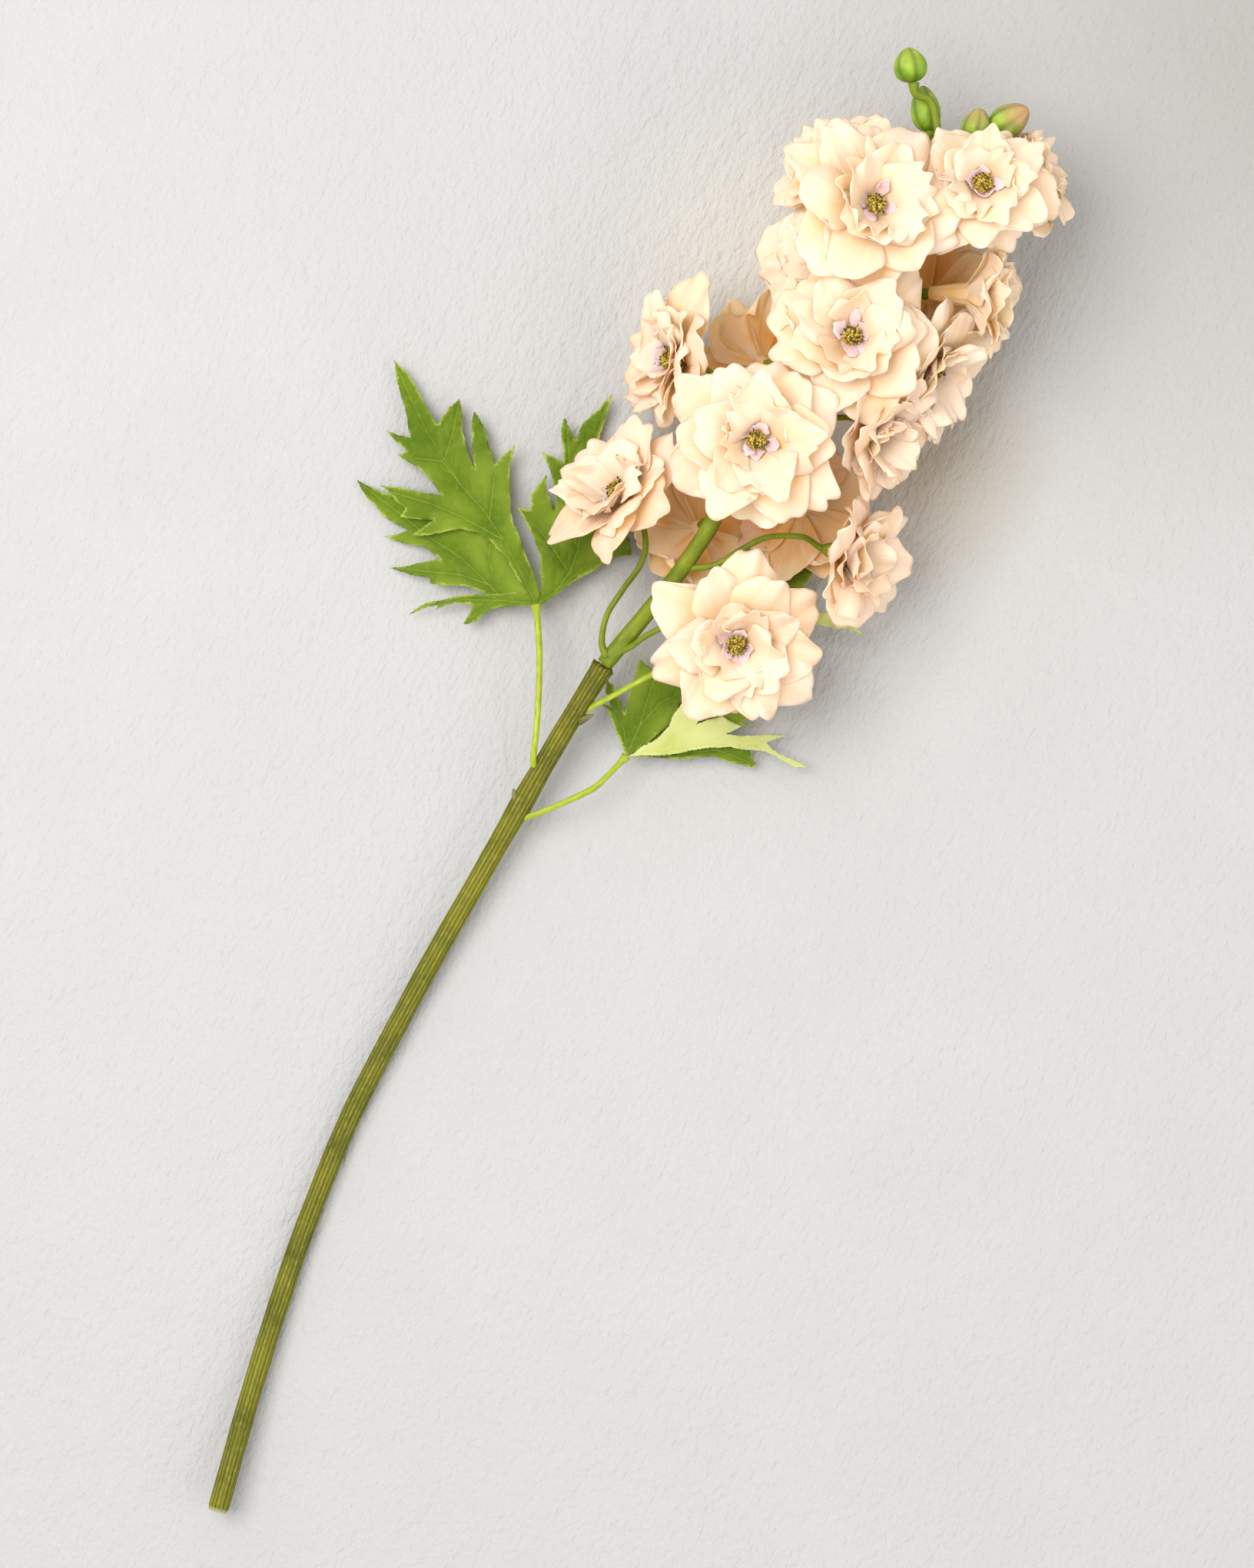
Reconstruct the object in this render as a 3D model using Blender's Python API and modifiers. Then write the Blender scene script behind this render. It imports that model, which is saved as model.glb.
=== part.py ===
"""An artificial delphinium stem, cut and laid down on a table.

A ribbed main stem carries three cut-edged leaves and, in the socket of its upper end, a smoother flower
axis with eighteen double blooms and four buds. Metres, +Z up from the table, the stem along +Y. The origin
is on the table under the middle of the object.
"""

import math
import random

import bmesh
import bpy
from mathutils import Matrix, Vector

MM = 0.001
WELD_DISTANCE = 0.01 * MM

# Places are written as they are seen from straight above: picture x, picture y, and the height in mm.
PIXELS_PER_MM = 3.0
PICTURE_MIDDLE = (816, 1020)
EYE_HEIGHT = 1500.0
LEAN = math.radians(25)
ORIGIN_OFFSET = Vector((-50.4, -15.4))

# Main stem
STEM_RADIUS = 4.5 * MM
STEM_RIBS = 12
RIB_DEPTH = 0.22 * MM
STEM_ROUTE = [
    (283, 1966, 13), (330, 1800, 8), (378, 1650, 5), (415, 1550, 4.6), (457, 1450, 4.6), (508, 1350, 6),
    (562, 1250, 8), (619, 1150, 11.5), (676, 1050, 15.5), (734, 950, 19.5), (785, 867, 23.5),
]
STEM_SPACING = 40 * MM
STEM_SWELLINGS = {1060: 1.12, 1000: 1.06, 867: 1.08}
SWELLING_REACH = 20 * MM
STUBS = [(668, 1026, 18), (766, 880, 24), (772, 930, 21)]
STUB_LENGTH = 6 * MM
STUB_RADIUS = 1.8 * MM
STUB_TIP_RADIUS = 0.5 * MM
STUB_DEPTH = 0.3
SOCKET_MOUTH = 5 * MM

# Flower axis
AXIS_RADIUS = 3.6 * MM
AXIS_TIP_RADIUS = 1.7 * MM
AXIS_TAPER = 1.5
AXIS_ROUTE = [
    (787, 864, 23.8), (812, 834, 26), (840, 800, 29), (880, 750, 34), (915, 700, 39), (945, 645, 44),
    (980, 592, 48), (1020, 530, 51), (1070, 460, 54), (1115, 395, 55), (1155, 330, 55), (1190, 265, 55),
    (1215, 215, 56), (1224, 190, 57),
]
AXIS_SPACING = 26 * MM
PEG_RADIUS = 2.4 * MM
PEG_LENGTH = 12 * MM
PEG_ROOT = 6 * MM
CLEARANCE = 0.3 * MM
PEDICEL_RADIUS = 1.25 * MM
PEDICEL_SPACING = 16 * MM
PEDICEL_RISE = 8 * MM
PEDICEL_SAG = 1.5 * MM
PEDICEL_BEND = 0.55
NECK_LENGTH = 5 * MM

# Pedicels that show have their own route; the others rise from the axis.
PEDICEL_ROUTES = {
    "low_front": [(800, 850, 25), (820, 842, 29), (845, 825, 34), (880, 812, 40), (925, 818, 45)],
    "low_left": [
        (790, 855, 26), (783, 835, 27), (790, 800, 29), (812, 765, 31), (833, 735, 33), (840, 705, 34),
    ],
    "low_right": [(890, 740, 35), (930, 735, 38), (965, 715, 42), (1000, 699, 46), (1045, 699, 46)],
}

# Blooms: picture x and y of the eye, its height, the way that it faces (right, up, towards the viewer),
# the radius of its outer petals in mm, and how many degrees more its petals rise at root and tip.
BLOOMS = {
    "low_front": (958, 838, 62, (0.10, -0.25, 0.95), 36, (0, 0)),
    "low_left": (806, 640, 43, (-0.55, 0.42, 0.66), 34, (14, 10)),
    "low_right": (1102, 722, 50, (0.76, -0.26, 0.52), 33, (24, 20)),
    "under_low_left": (902, 694, 14, (-0.35, -0.30, -0.85), 30, (0, 0)),
    "under_low_right": (1048, 668, 16, (0.35, -0.35, -0.80), 33, (0, 0)),
    "centre": (985, 573, 87, (-0.05, -0.06, 1.0), 37, (0, 0)),
    "left": (876, 467, 50, (-0.80, 0.10, 0.50), 33, (12, 10)),
    "right": (1140, 563, 60, (0.58, -0.46, 0.55), 33, (24, 24)),
    "under_left": (985, 474, 15, (-0.4, 0.1, -0.85), 30, (0, 0)),
    "upper_centre": (1108, 438, 80, (0.05, 0.05, 1.0), 37, (0, 0)),
    "upper_left": (1080, 351, 53, (-0.52, 0.04, 0.70), 38, (4, 4)),
    "right_back": (1212, 480, 50, (0.70, -0.38, 0.45), 34, (16, 12)),
    "under_right": (1220, 388, 20, (0.50, 0.0, -0.65), 33, (0, 0)),
    "upper_right": (1270, 384, 54, (0.92, -0.08, 0.24), 31, (40, 14)),
    "top_front": (1138, 268, 86, (0.26, 0.12, 0.93), 38, (0, 0)),
    "top_left": (1085, 225, 60, (-0.45, 0.45, 0.65), 30, (0, 0)),
    "top_right": (1277, 240, 80, (0.14, 0.10, 0.97), 31, (0, 0)),
    "top_right_back": (1338, 225, 52, (0.75, 0.32, 0.35), 30, (8, 8)),
}
# Blooms that face the table or away from the axis carry fewer petals, counted from the outer whorl in.
FEWER_PETALS = {
    "under_low_left": (4, 3, 2),
    "under_low_right": (4, 3, 2),
    "under_left": (4, 3, 2),
    "under_right": (4, 3, 2),
    "top_right_back": (4, 4, 2),
    "upper_right": (5, 4, 2),
    "right_back": (5, 4, 3),
}
# Petals of these blooms stay above the leaves and the stem under them.
FLOOR_UNDER = {"low_left": 17 * MM, "low_front": 34 * MM, "low_right": 24 * MM}
TABLE_GAP = 0.3 * MM

# A whorl of petals: how many, their length and half-width as shares of the bloom's radius, where they
# root in the core, how steeply they rise at the root and at the tip, how narrow their claws are, how much
# their edges curl up, the first petal's turn, and the shares of the length at which a petal has points.
WHORLS = [
    {"count": 5, "length": 1.0, "width": 0.42, "claw": 1.45, "root": (1.6, -6.2), "rise": (18, -6),
     "cup": 0.14, "turn": 0, "rows": (0.0, 0.45, 0.80, 1.0)},
    {"count": 5, "length": 0.80, "width": 0.35, "claw": 1.8, "root": (2.4, -4.6), "rise": (42, 14),
     "cup": 0.20, "turn": 36, "rows": (0.0, 0.48, 0.82, 1.0)},
    {"count": 4, "length": 0.50, "width": 0.22, "claw": 2.0, "root": (3.4, -2.0), "rise": (72, 48),
     "cup": 0.28, "turn": 10, "rows": (0.0, 0.62, 1.0)},
]
PETAL_THICKNESS = 0.6 * MM
PETAL_GAP = 0.35 * MM
PETAL_WAVE = 0.45 * MM
FREE_SHARE = 0.78
PRESS = 1.6
HOLD_PASSES = 6
AXIS_WATCH = 0.7
CORE_RADIUS = 5.4 * MM
CORE_FOOT_RADIUS = 2.6 * MM
CORE_DEPTH = 9 * MM
LONG_THROATS = {"upper_right": 20 * MM}
STEEPEST_ROOT = 72
# How much of a half wave a petal's outline follows, so that it is cut off wide at the tip.
OUTLINE_ARC = math.pi * 0.82
SEAM_DISTANCE = 0.05 * MM
# The turn in degrees from one bloom to the next, so that no two stand alike.
BLOOM_TURN = 37

# Eye of a bloom
EYE_RADIUS = 2.3 * MM
EYE_HEIGHT_ON_CORE = 2.6 * MM
STAMEN_COUNT = 4
STAMEN_LENGTH = 5.0 * MM
STAMEN_ROOT = (1.1 * MM, 2.0 * MM)
STAMEN_RADII = (0.45 * MM, 0.75 * MM)
LILAC_COUNT = 3
LILAC_LENGTH = 6.8 * MM
LILAC_ROWS = (0.0, 0.65, 1.0)
LILAC_SHAPE = {
    "width": 2.3 * MM, "cup": 0.25, "tilt": 0.1, "claw": 1.0,
    "start": math.radians(40), "end": math.radians(72), "root": (1.2 * MM, 0.9 * MM),
}

# Buds: base and tip, and the greatest radius in mm
BUDS = {
    "bud_1": ((1189, 107, 60), (1181, 62, 61), 7.0),
    "bud_2": ((1209, 171, 50), (1200, 112, 47), 6.2),
    "bud_3": ((1266, 184, 64), (1276, 141, 67), 6.0),
    "bud_4": ((1290, 173, 60), (1338, 141, 66), 7.0),
}
BUD_STALKS = {
    "bud_1": [(1222, 200, 56.5), (1221, 180, 57), (1218, 152, 58), (1209, 130, 59)],
    "bud_2": [(1222, 200, 56), (1216, 184, 52.5)],
    "bud_3": [(1223, 196, 57), (1243, 198, 61)],
    "bud_4": [(1224, 200, 56.5), (1250, 196, 55.5)],
}
BUD_STALK_RADIUS = 1.6 * MM
BUD_STALK_SPACING = 12 * MM
BUD_NECK = 5 * MM
BUD_RIBS = 5
BUD_GROOVE = 0.07
BUD_TAPER = 0.18

# Leaves: outlines as seen in the picture, each lobe from the leaf's joint round and back
LEAF_THICKNESS = 0.7 * MM
LEAF_LOWEST = 0.8
# How far from the joint, in mm, a leaf has drooped by most of its fall, has its lift, and waves in full.
DROOP_REACH = 45
LIFT_REACH = 12
WAVE_REACH = 30
LEAF_WAVES = ((0.9, 21.0, 0.0), (0.7, 17.0, 1.0))
LEAF_JOINT_RADIUS = 2.4 * MM
PETIOLE_RADIUS = 1.2 * MM
PETIOLE_SPACING = 14 * MM
PETIOLE_HOLE_MOUTH = 4 * MM
LEAVES = {
    "leaf_left": {
        "joint": (697, 787, 16),
        "petiole": [
            (700, 1004, 17), (694, 990, 21), (698, 950, 24), (701, 900, 23), (702, 850, 20),
            (699, 800, 17),
        ],
        "lobes": [
            {"lift": 2.0, "droop": 12, "outline": [
                (697, 787), (680, 762), (668, 742), (655, 722), (640, 705), (620, 692), (600, 688),
                (575, 693), (533, 697), (565, 676), (521, 672), (528, 662), (510, 645), (497, 632),
                (545, 640), (575, 644), (565, 630), (540, 605), (518, 592), (530, 587), (503, 560),
                (535, 570), (530, 545), (522, 515), (513, 468), (530, 485), (550, 520), (570, 553),
                (585, 530), (598, 518), (602, 560), (618, 612), (614, 550), (617, 535), (632, 560),
                (644, 604), (670, 580), (663, 615), (664, 645), (668, 680), (680, 710), (695, 745),
                (703, 775),
            ]},
            {"lift": -0.5, "droop": 14, "outline": [
                (694, 788), (660, 783), (627, 770), (605, 762), (560, 759), (560, 752), (508, 739),
                (545, 733), (573, 728), (553, 712), (500, 698), (533, 690), (500, 672), (480, 650),
                (465, 625), (497, 640), (530, 656), (570, 672), (620, 686), (655, 714), (682, 748),
                (698, 780),
            ]},
            {"lift": -1.0, "droop": 11, "outline": [
                (697, 789), (650, 790), (638, 793), (621, 808), (603, 812), (616, 786), (590, 784),
                (568, 793), (570, 786), (532, 800), (555, 784), (590, 777), (627, 773), (670, 770),
                (697, 776),
            ]},
            {"lift": 0.5, "droop": 12, "outline": [
                (698, 788), (705, 760), (703, 725), (695, 700), (685, 680), (672, 660), (690, 664),
                (691, 645), (712, 618), (711, 640), (722, 665), (724, 640), (718, 617), (705, 588),
                (733, 603), (730, 560), (735, 543), (749, 573), (760, 550), (796, 513), (781, 565),
                (776, 605), (785, 620), (796, 600), (803, 573), (805, 610), (800, 645), (815, 690),
                (822, 722), (795, 726), (750, 755), (725, 773), (706, 785),
            ]},
        ],
    },
    "leaf_right": {
        "joint": (815, 984, 14),
        "petiole": [
            (672, 1068, 14), (690, 1062, 17), (725, 1048, 19), (750, 1037, 19), (775, 1024, 18),
            (797, 1003, 16),
        ],
        "lobes": [
            {"lift": 0.5, "droop": 8, "outline": [
                (815, 984), (805, 960), (797, 938), (783, 915), (795, 919), (788, 900), (790, 885),
                (800, 893), (806, 910), (813, 928), (820, 900), (826, 880), (833, 857), (850, 872),
                (875, 880), (905, 893), (903, 903), (885, 915), (870, 945), (840, 970),
            ]},
            {"lift": -0.5, "droop": 6, "outline": [
                (817, 984), (850, 955), (880, 925), (907, 900), (950, 893), (1000, 880), (1035, 868),
                (1050, 862), (1046, 885), (1043, 900), (1025, 910), (1000, 920), (965, 940),
                (985, 944), (950, 942), (900, 955), (860, 972),
            ]},
            {"lift": 3.0, "droop": 8, "outline": [
                (818, 984), (835, 972), (850, 965), (870, 945), (880, 925), (890, 911), (896, 922),
                (917, 915), (921, 928), (905, 943), (940, 932), (965, 945), (945, 955), (980, 957),
                (1025, 957), (997, 966), (1005, 975), (1025, 986), (1052, 999), (1035, 998),
                (1010, 984), (990, 976), (950, 972), (900, 976), (860, 983),
            ]},
            {"lift": -0.8, "droop": 9, "outline": [
                (817, 986), (860, 976), (900, 970), (950, 966), (975, 975), (984, 996), (979, 999),
                (955, 993), (930, 984), (895, 987), (860, 986),
            ]},
        ],
    },
    "leaf_under": {
        "joint": (925, 850, 24),
        "petiole": [
            (758, 926, 20.5), (775, 917, 22.5), (800, 904, 25), (825, 890, 26.5), (850, 877, 27),
            (890, 862, 26),
        ],
        "lobes": [
            {"lift": 0.6, "droop": 8, "outline": [
                (924, 852), (922, 800), (915, 778), (935, 785), (950, 800), (960, 775), (983, 755),
                (1010, 746), (1040, 736), (1072, 722), (1070, 735), (1052, 755), (1040, 768),
                (1062, 772), (1046, 790), (1000, 800), (960, 830),
            ]},
            {"lift": 0.0, "droop": 10, "outline": [
                (926, 852), (960, 822), (1000, 800), (1045, 795), (1075, 797), (1105, 806),
                (1126, 829), (1103, 818), (1075, 815), (1056, 812), (1040, 830), (1060, 850),
                (1030, 856), (1005, 850), (970, 862),
            ]},
        ],
    },
}


def clear_scene():
    for obj in list(bpy.data.objects):
        bpy.data.objects.remove(obj, do_unlink=True)


def collection(name, hidden=False):
    made = bpy.data.collections.new(name)
    bpy.context.scene.collection.children.link(made)
    made.hide_render = hidden
    return made


def material(name, colour, roughness):
    made = bpy.data.materials.new(name)
    made.use_nodes = True
    shader = made.node_tree.nodes["Principled BSDF"]
    shader.inputs["Base Color"].default_value = (*colour, 1.0)
    shader.inputs["Roughness"].default_value = roughness
    shader.inputs["Metallic"].default_value = 0.0
    return made


def turned(right, up):
    """A direction or an offset in the picture, in the object's own frame."""
    sine, cosine = math.sin(LEAN), math.cos(LEAN)
    return Vector((right * cosine - up * sine, right * sine + up * cosine))


def place(x, y, height):
    """The point that is seen at (x, y) in the picture and lies at this height in mm."""
    nearer = (EYE_HEIGHT - height) / EYE_HEIGHT
    right = (x - PICTURE_MIDDLE[0]) / PIXELS_PER_MM * nearer
    up = (PICTURE_MIDDLE[1] - y) / PIXELS_PER_MM * nearer
    flat = turned(right, up) - ORIGIN_OFFSET
    return Vector((flat.x, flat.y, height)) * MM


def direction(right, up, towards):
    flat = turned(right, up)
    return Vector((flat.x, flat.y, towards)).normalized()


def smooth_route(points, spacing):
    """Points about this far apart on a smooth curve through the given ones."""
    ends = [2 * points[0] - points[1], *points, 2 * points[-1] - points[-2]]
    route = []
    for before, start, end, after in zip(ends, ends[1:], ends[2:], ends[3:]):
        steps = max(1, round((end - start).length / spacing))
        for step in range(steps):
            t = step / steps
            route.append(0.5 * (
                2 * start + (end - before) * t + (2 * before - 5 * start + 4 * end - after) * t ** 2
                + (3 * start - before - 3 * end + after) * t ** 3))
    route.append(points[-1].copy())
    return route


def new_object(name, mesh, into):
    obj = bpy.data.objects.new(name, mesh)
    into.objects.link(obj)
    return obj


def frozen(obj, name, into):
    """The object as it is with its modifiers, as a mesh object of its own; the first one is removed."""
    graph = bpy.context.evaluated_depsgraph_get()
    mesh = bpy.data.meshes.new_from_object(obj.evaluated_get(graph))
    place_of_first = obj.matrix_world.copy()
    bpy.data.objects.remove(obj, do_unlink=True)
    made = new_object(name, mesh, into)
    made.matrix_world = place_of_first
    return made


def tube(name, route, radii, into, bevel_resolution=2, profile=None):
    """A round or profiled tube along a route, closed at both ends."""
    data = bpy.data.curves.new(name, "CURVE")
    data.dimensions = "3D"
    data.use_fill_caps = True
    if profile:
        data.bevel_mode = "OBJECT"
        data.bevel_object = profile
    else:
        data.bevel_depth = 1.0
        data.bevel_resolution = bevel_resolution
    spline = data.splines.new("POLY")
    spline.points.add(len(route) - 1)
    for point, where, radius in zip(spline.points, route, radii):
        point.co = (*where, 1.0)
        point.radius = radius
    made = frozen(new_object(name, data, into), name, into)
    weld = bmesh.new()
    weld.from_mesh(made.data)
    bmesh.ops.remove_doubles(weld, verts=weld.verts, dist=WELD_DISTANCE)
    bmesh.ops.recalc_face_normals(weld, faces=weld.faces)
    weld.to_mesh(made.data)
    weld.free()
    return made


def ribbed_profile(into):
    """The stem's cross-section at radius 1: a circle with shallow grooves between its ribs."""
    data = bpy.data.curves.new("stem_profile", "CURVE")
    data.dimensions = "2D"
    spline = data.splines.new("POLY")
    count = STEM_RIBS * 2
    spline.points.add(count - 1)
    spline.use_cyclic_u = True
    groove = 1.0 - RIB_DEPTH / STEM_RADIUS
    for index, point in enumerate(spline.points):
        angle = 2 * math.pi * index / count
        radius = groove if index % 2 else 1.0
        point.co = (radius * math.cos(angle), radius * math.sin(angle), 0.0, 1.0)
    return new_object("stem_profile", data, into)


def boolean(obj, others, operation, name, into, solver="EXACT"):
    """Joins all the others to the object, or cuts them from it, and removes them."""
    group = bpy.data.collections.new(name + "_pieces")
    for other in others:
        for owner in other.users_collection:
            owner.objects.unlink(other)
        group.objects.link(other)
    modifier = obj.modifiers.new("Boolean", "BOOLEAN")
    modifier.operation = operation
    modifier.operand_type = "COLLECTION"
    modifier.collection = group
    modifier.solver = solver
    bpy.context.scene.collection.children.link(group)
    bpy.context.view_layer.update()
    made = frozen(obj, name, into)
    for other in others:
        bpy.data.objects.remove(other, do_unlink=True)
    bpy.data.collections.remove(group)
    return made


def cone(name, start, end, radius, end_radius, sides, into):
    """A cone or a cylinder between two points."""
    mesh = bpy.data.meshes.new(name)
    shape = bmesh.new()
    along = end - start
    bmesh.ops.create_cone(
        shape, cap_ends=True, segments=sides, radius1=radius, radius2=end_radius, depth=along.length)
    shape.to_mesh(mesh)
    shape.free()
    obj = new_object(name, mesh, into)
    turn = along.to_track_quat("Z", "Y").to_matrix().to_4x4()
    obj.matrix_world = Matrix.Translation((start + end) / 2) @ turn
    return obj


def ball(name, centre, radius, into, across=8, along=6):
    mesh = bpy.data.meshes.new(name)
    shape = bmesh.new()
    bmesh.ops.create_uvsphere(shape, u_segments=across, v_segments=along, radius=radius)
    shape.to_mesh(mesh)
    shape.free()
    obj = new_object(name, mesh, into)
    obj.matrix_world = Matrix.Translation(centre)
    return obj


def finish(obj, finish_material):
    obj.data.materials.clear()
    obj.data.materials.append(finish_material)
    obj.data.shade_smooth()
    obj.data.set_sharp_from_angle(angle=math.radians(40))
    return obj


def swelling(y, swollen):
    """How much thicker than elsewhere the stem is at this y."""
    sizes = [1 + (size - 1) * max(0.0, 1 - abs(y - middle) / SWELLING_REACH) for middle, size in swollen]
    return max([1.0, *sizes])


def main_stem(parts, helpers):
    """The ribbed stem, with its swellings and stubs, the axis socket, and a hole for each petiole."""
    rows = smooth_route([place(*spot) for spot in STEM_ROUTE], STEM_SPACING)
    swollen = []
    for picture_y, size in STEM_SWELLINGS.items():
        nearest_spot = min(STEM_ROUTE, key=lambda spot: abs(spot[1] - picture_y))
        swollen.append((place(*nearest_spot).y, size))
    radii = [STEM_RADIUS * swelling(row.y, swollen) for row in rows]
    profile = ribbed_profile(helpers)
    stem = tube("main_stem", rows, radii, parts, profile=profile)
    bpy.data.objects.remove(profile, do_unlink=True)
    stubs = []
    for index, spot in enumerate(STUBS):
        tip = place(*spot)
        nearest = min(rows, key=lambda row: (row - tip).length)
        root = nearest + (tip - nearest) * STUB_DEPTH - (rows[-1] - rows[0]).normalized() * STUB_LENGTH
        stubs.append(cone(f"stub_{index}", root, tip, STUB_RADIUS, STUB_TIP_RADIUS, 6, parts))
    stem = boolean(stem, stubs, "UNION", "main_stem", parts)
    axis_start = place(*AXIS_ROUTE[0])
    into_stem = (place(*STEM_ROUTE[-1]) - place(*STEM_ROUTE[-2])).normalized()
    socket_end = axis_start - into_stem * (PEG_LENGTH + CLEARANCE)
    radius = PEG_RADIUS + CLEARANCE
    mouth = axis_start + into_stem * SOCKET_MOUTH
    cutters = [cone("socket", socket_end, mouth, radius, radius, 12, helpers)]
    radius = PETIOLE_RADIUS + CLEARANCE
    for name, leaf in LEAVES.items():
        first, second = (place(*spot) for spot in leaf["petiole"][:2])
        along = (second - first).normalized()
        inner_end = first - along * CLEARANCE
        outer_end = second + along * PETIOLE_HOLE_MOUTH
        cutters.append(cone(f"hole_{name}", inner_end, outer_end, radius, radius, 8, helpers))
    return boolean(stem, cutters, "DIFFERENCE", "main_stem", parts)


def axis_point(y):
    """The point of the flower axis at this y."""
    route = [place(*spot) for spot in AXIS_ROUTE]
    for start, end in zip(route, route[1:]):
        if start.y <= y <= end.y:
            return start.lerp(end, (y - start.y) / (end.y - start.y))
    return route[0] if y < route[0].y else route[-1]


def bloom_matrix(name):
    """A bloom's frame: its origin at the top of its core, +Z the way that it faces."""
    x, y, height, facing = BLOOMS[name][:4]
    turn = direction(*facing).to_track_quat("Z", "Y").to_matrix().to_4x4()
    return Matrix.Translation(place(x, y, height)) @ turn


def bloom_radius(name):
    return BLOOMS[name][4] * MM


def core_depth(name):
    return LONG_THROATS.get(name, CORE_DEPTH)


def pedicel_route(name):
    """From the axis to just behind the bloom's core."""
    frame = bloom_matrix(name)
    seat = frame @ Vector((0, 0, -core_depth(name) - CLEARANCE))
    behind = frame @ Vector((0, 0, -core_depth(name) - NECK_LENGTH))
    if name in PEDICEL_ROUTES:
        return [place(*spot) for spot in PEDICEL_ROUTES[name]] + [behind, seat]
    root = axis_point(behind.y - PEDICEL_RISE)
    return [root, root.lerp(behind, PEDICEL_BEND) - Vector((0, PEDICEL_SAG, 0)), behind, seat]


def flower_axis(parts):
    """The smooth axis with its peg, a pedicel to each bloom, and the bud stalks."""
    route = smooth_route([place(*spot) for spot in AXIS_ROUTE], AXIS_SPACING)
    last = len(route) - 1
    thinner = AXIS_RADIUS - AXIS_TIP_RADIUS
    radii = [AXIS_RADIUS - thinner * (index / last) ** AXIS_TAPER for index in range(last + 1)]
    into_stem = (place(*STEM_ROUTE[-1]) - place(*STEM_ROUTE[-2])).normalized()
    seat = route[0]
    peg_end = seat - into_stem * PEG_LENGTH
    pieces = [cone("peg", peg_end, seat + into_stem * PEG_ROOT, PEG_RADIUS, PEG_RADIUS, 10, parts)]
    for name in BLOOMS:
        points = smooth_route(pedicel_route(name), PEDICEL_SPACING)
        sides = 1 if name in PEDICEL_ROUTES else 0
        pieces.append(tube(f"pedicel_{name}", points, [PEDICEL_RADIUS] * len(points), parts, sides))
    for name, spots in BUD_STALKS.items():
        base, tip = (place(*spot) for spot in BUDS[name][:2])
        along = (tip - base).normalized()
        ends = [base - along * BUD_NECK, base - along * CLEARANCE]
        points = smooth_route([place(*spot) for spot in spots] + ends, BUD_STALK_SPACING)
        pieces.append(tube(f"stalk_{name}", points, [BUD_STALK_RADIUS] * len(points), parts, 1))
    axis = tube("flower_axis", route, radii, parts, 2)
    return boolean(axis, pieces, "UNION", "flower_axis", parts)


def limits(name):
    """The planes that a bloom stays behind, as (outward direction, distance from the bloom's centre)."""
    centre = bloom_matrix(name).translation
    radius = bloom_radius(name)
    margin = PETAL_THICKNESS / 2 + PETAL_GAP
    planes = []
    for other in BLOOMS:
        if other == name:
            continue
        apart = bloom_matrix(other).translation - centre
        share = radius / (radius + bloom_radius(other))
        planes.append((apart.normalized(), apart.length * share - margin))
    for along in (-1, 0, 1):
        to_axis = axis_point(centre.y + along * radius * AXIS_WATCH) - centre
        planes.append((to_axis.normalized(), to_axis.length - AXIS_RADIUS - margin))
    for base, tip, bud_radius in BUDS.values():
        to_bud = (place(*base) + place(*tip)) / 2 - centre
        planes.append((to_bud.normalized(), to_bud.length - bud_radius * MM - margin))
    floor = FLOOR_UNDER.get(name, TABLE_GAP)
    planes.append((Vector((0, 0, -1)), centre.z - floor))
    return centre, planes


def held_back(point, centre, planes):
    """The point eased back behind each plane, so that petals bend where blooms press on each other."""
    for outward, limit in planes:
        reach = (point - centre).dot(outward)
        start = limit * FREE_SHARE
        if reach > start:
            room = (limit - start) * PRESS
            eased = start + room * (1 - math.exp(-(reach - start) / room))
            point = point + outward * (eased - reach)
    for _ in range(HOLD_PASSES):
        for outward, limit in planes:
            over = (point - centre).dot(outward) - limit
            if over > 0:
                point = point - outward * over
    return point


def petal_width(share, claw):
    """Half-width of a petal along its length, as a share of its greatest."""
    return math.sin(share ** claw * OUTLINE_ARC) if share < 1 else 0.0


def petal_shape(whorl, radius, opening, draw):
    """One petal's own length, width and bend, drawn a little apart from its whorl's."""
    start = min(whorl["rise"][0] + opening[0], STEEPEST_ROOT)
    end = whorl["rise"][1] + opening[1]
    return {
        "length": whorl["length"] * radius * draw.uniform(0.93, 1.04),
        "width": whorl["width"] * radius * draw.uniform(0.94, 1.06),
        "start": math.radians(start + draw.uniform(-4, 4)),
        "end": math.radians(end + draw.uniform(-9, 9)),
        "tilt": draw.uniform(0.14, 0.22),
        "cup": whorl["cup"] * draw.uniform(0.7, 1.2),
        "claw": whorl["claw"],
        "root": (whorl["root"][0] * MM, whorl["root"][1] * MM),
    }


def petal_point(shape, share, across):
    """A point of a petal's middle surface before its turn: +X outwards, +Z along the bloom's axis."""
    start = shape["start"]
    bend = shape["end"] - start
    angle = start + bend * share
    out = shape["root"][0] + shape["length"] * (math.sin(angle) - math.sin(start)) / bend
    up = shape["root"][1] - shape["length"] * (math.cos(angle) - math.cos(start)) / bend
    side = across * shape["width"] * petal_width(share, shape["claw"])
    lift = shape["cup"] * abs(side) * abs(across) + shape["tilt"] * side * share
    return Vector((out - lift * math.sin(angle), side, up + lift * math.cos(angle)))


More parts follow.
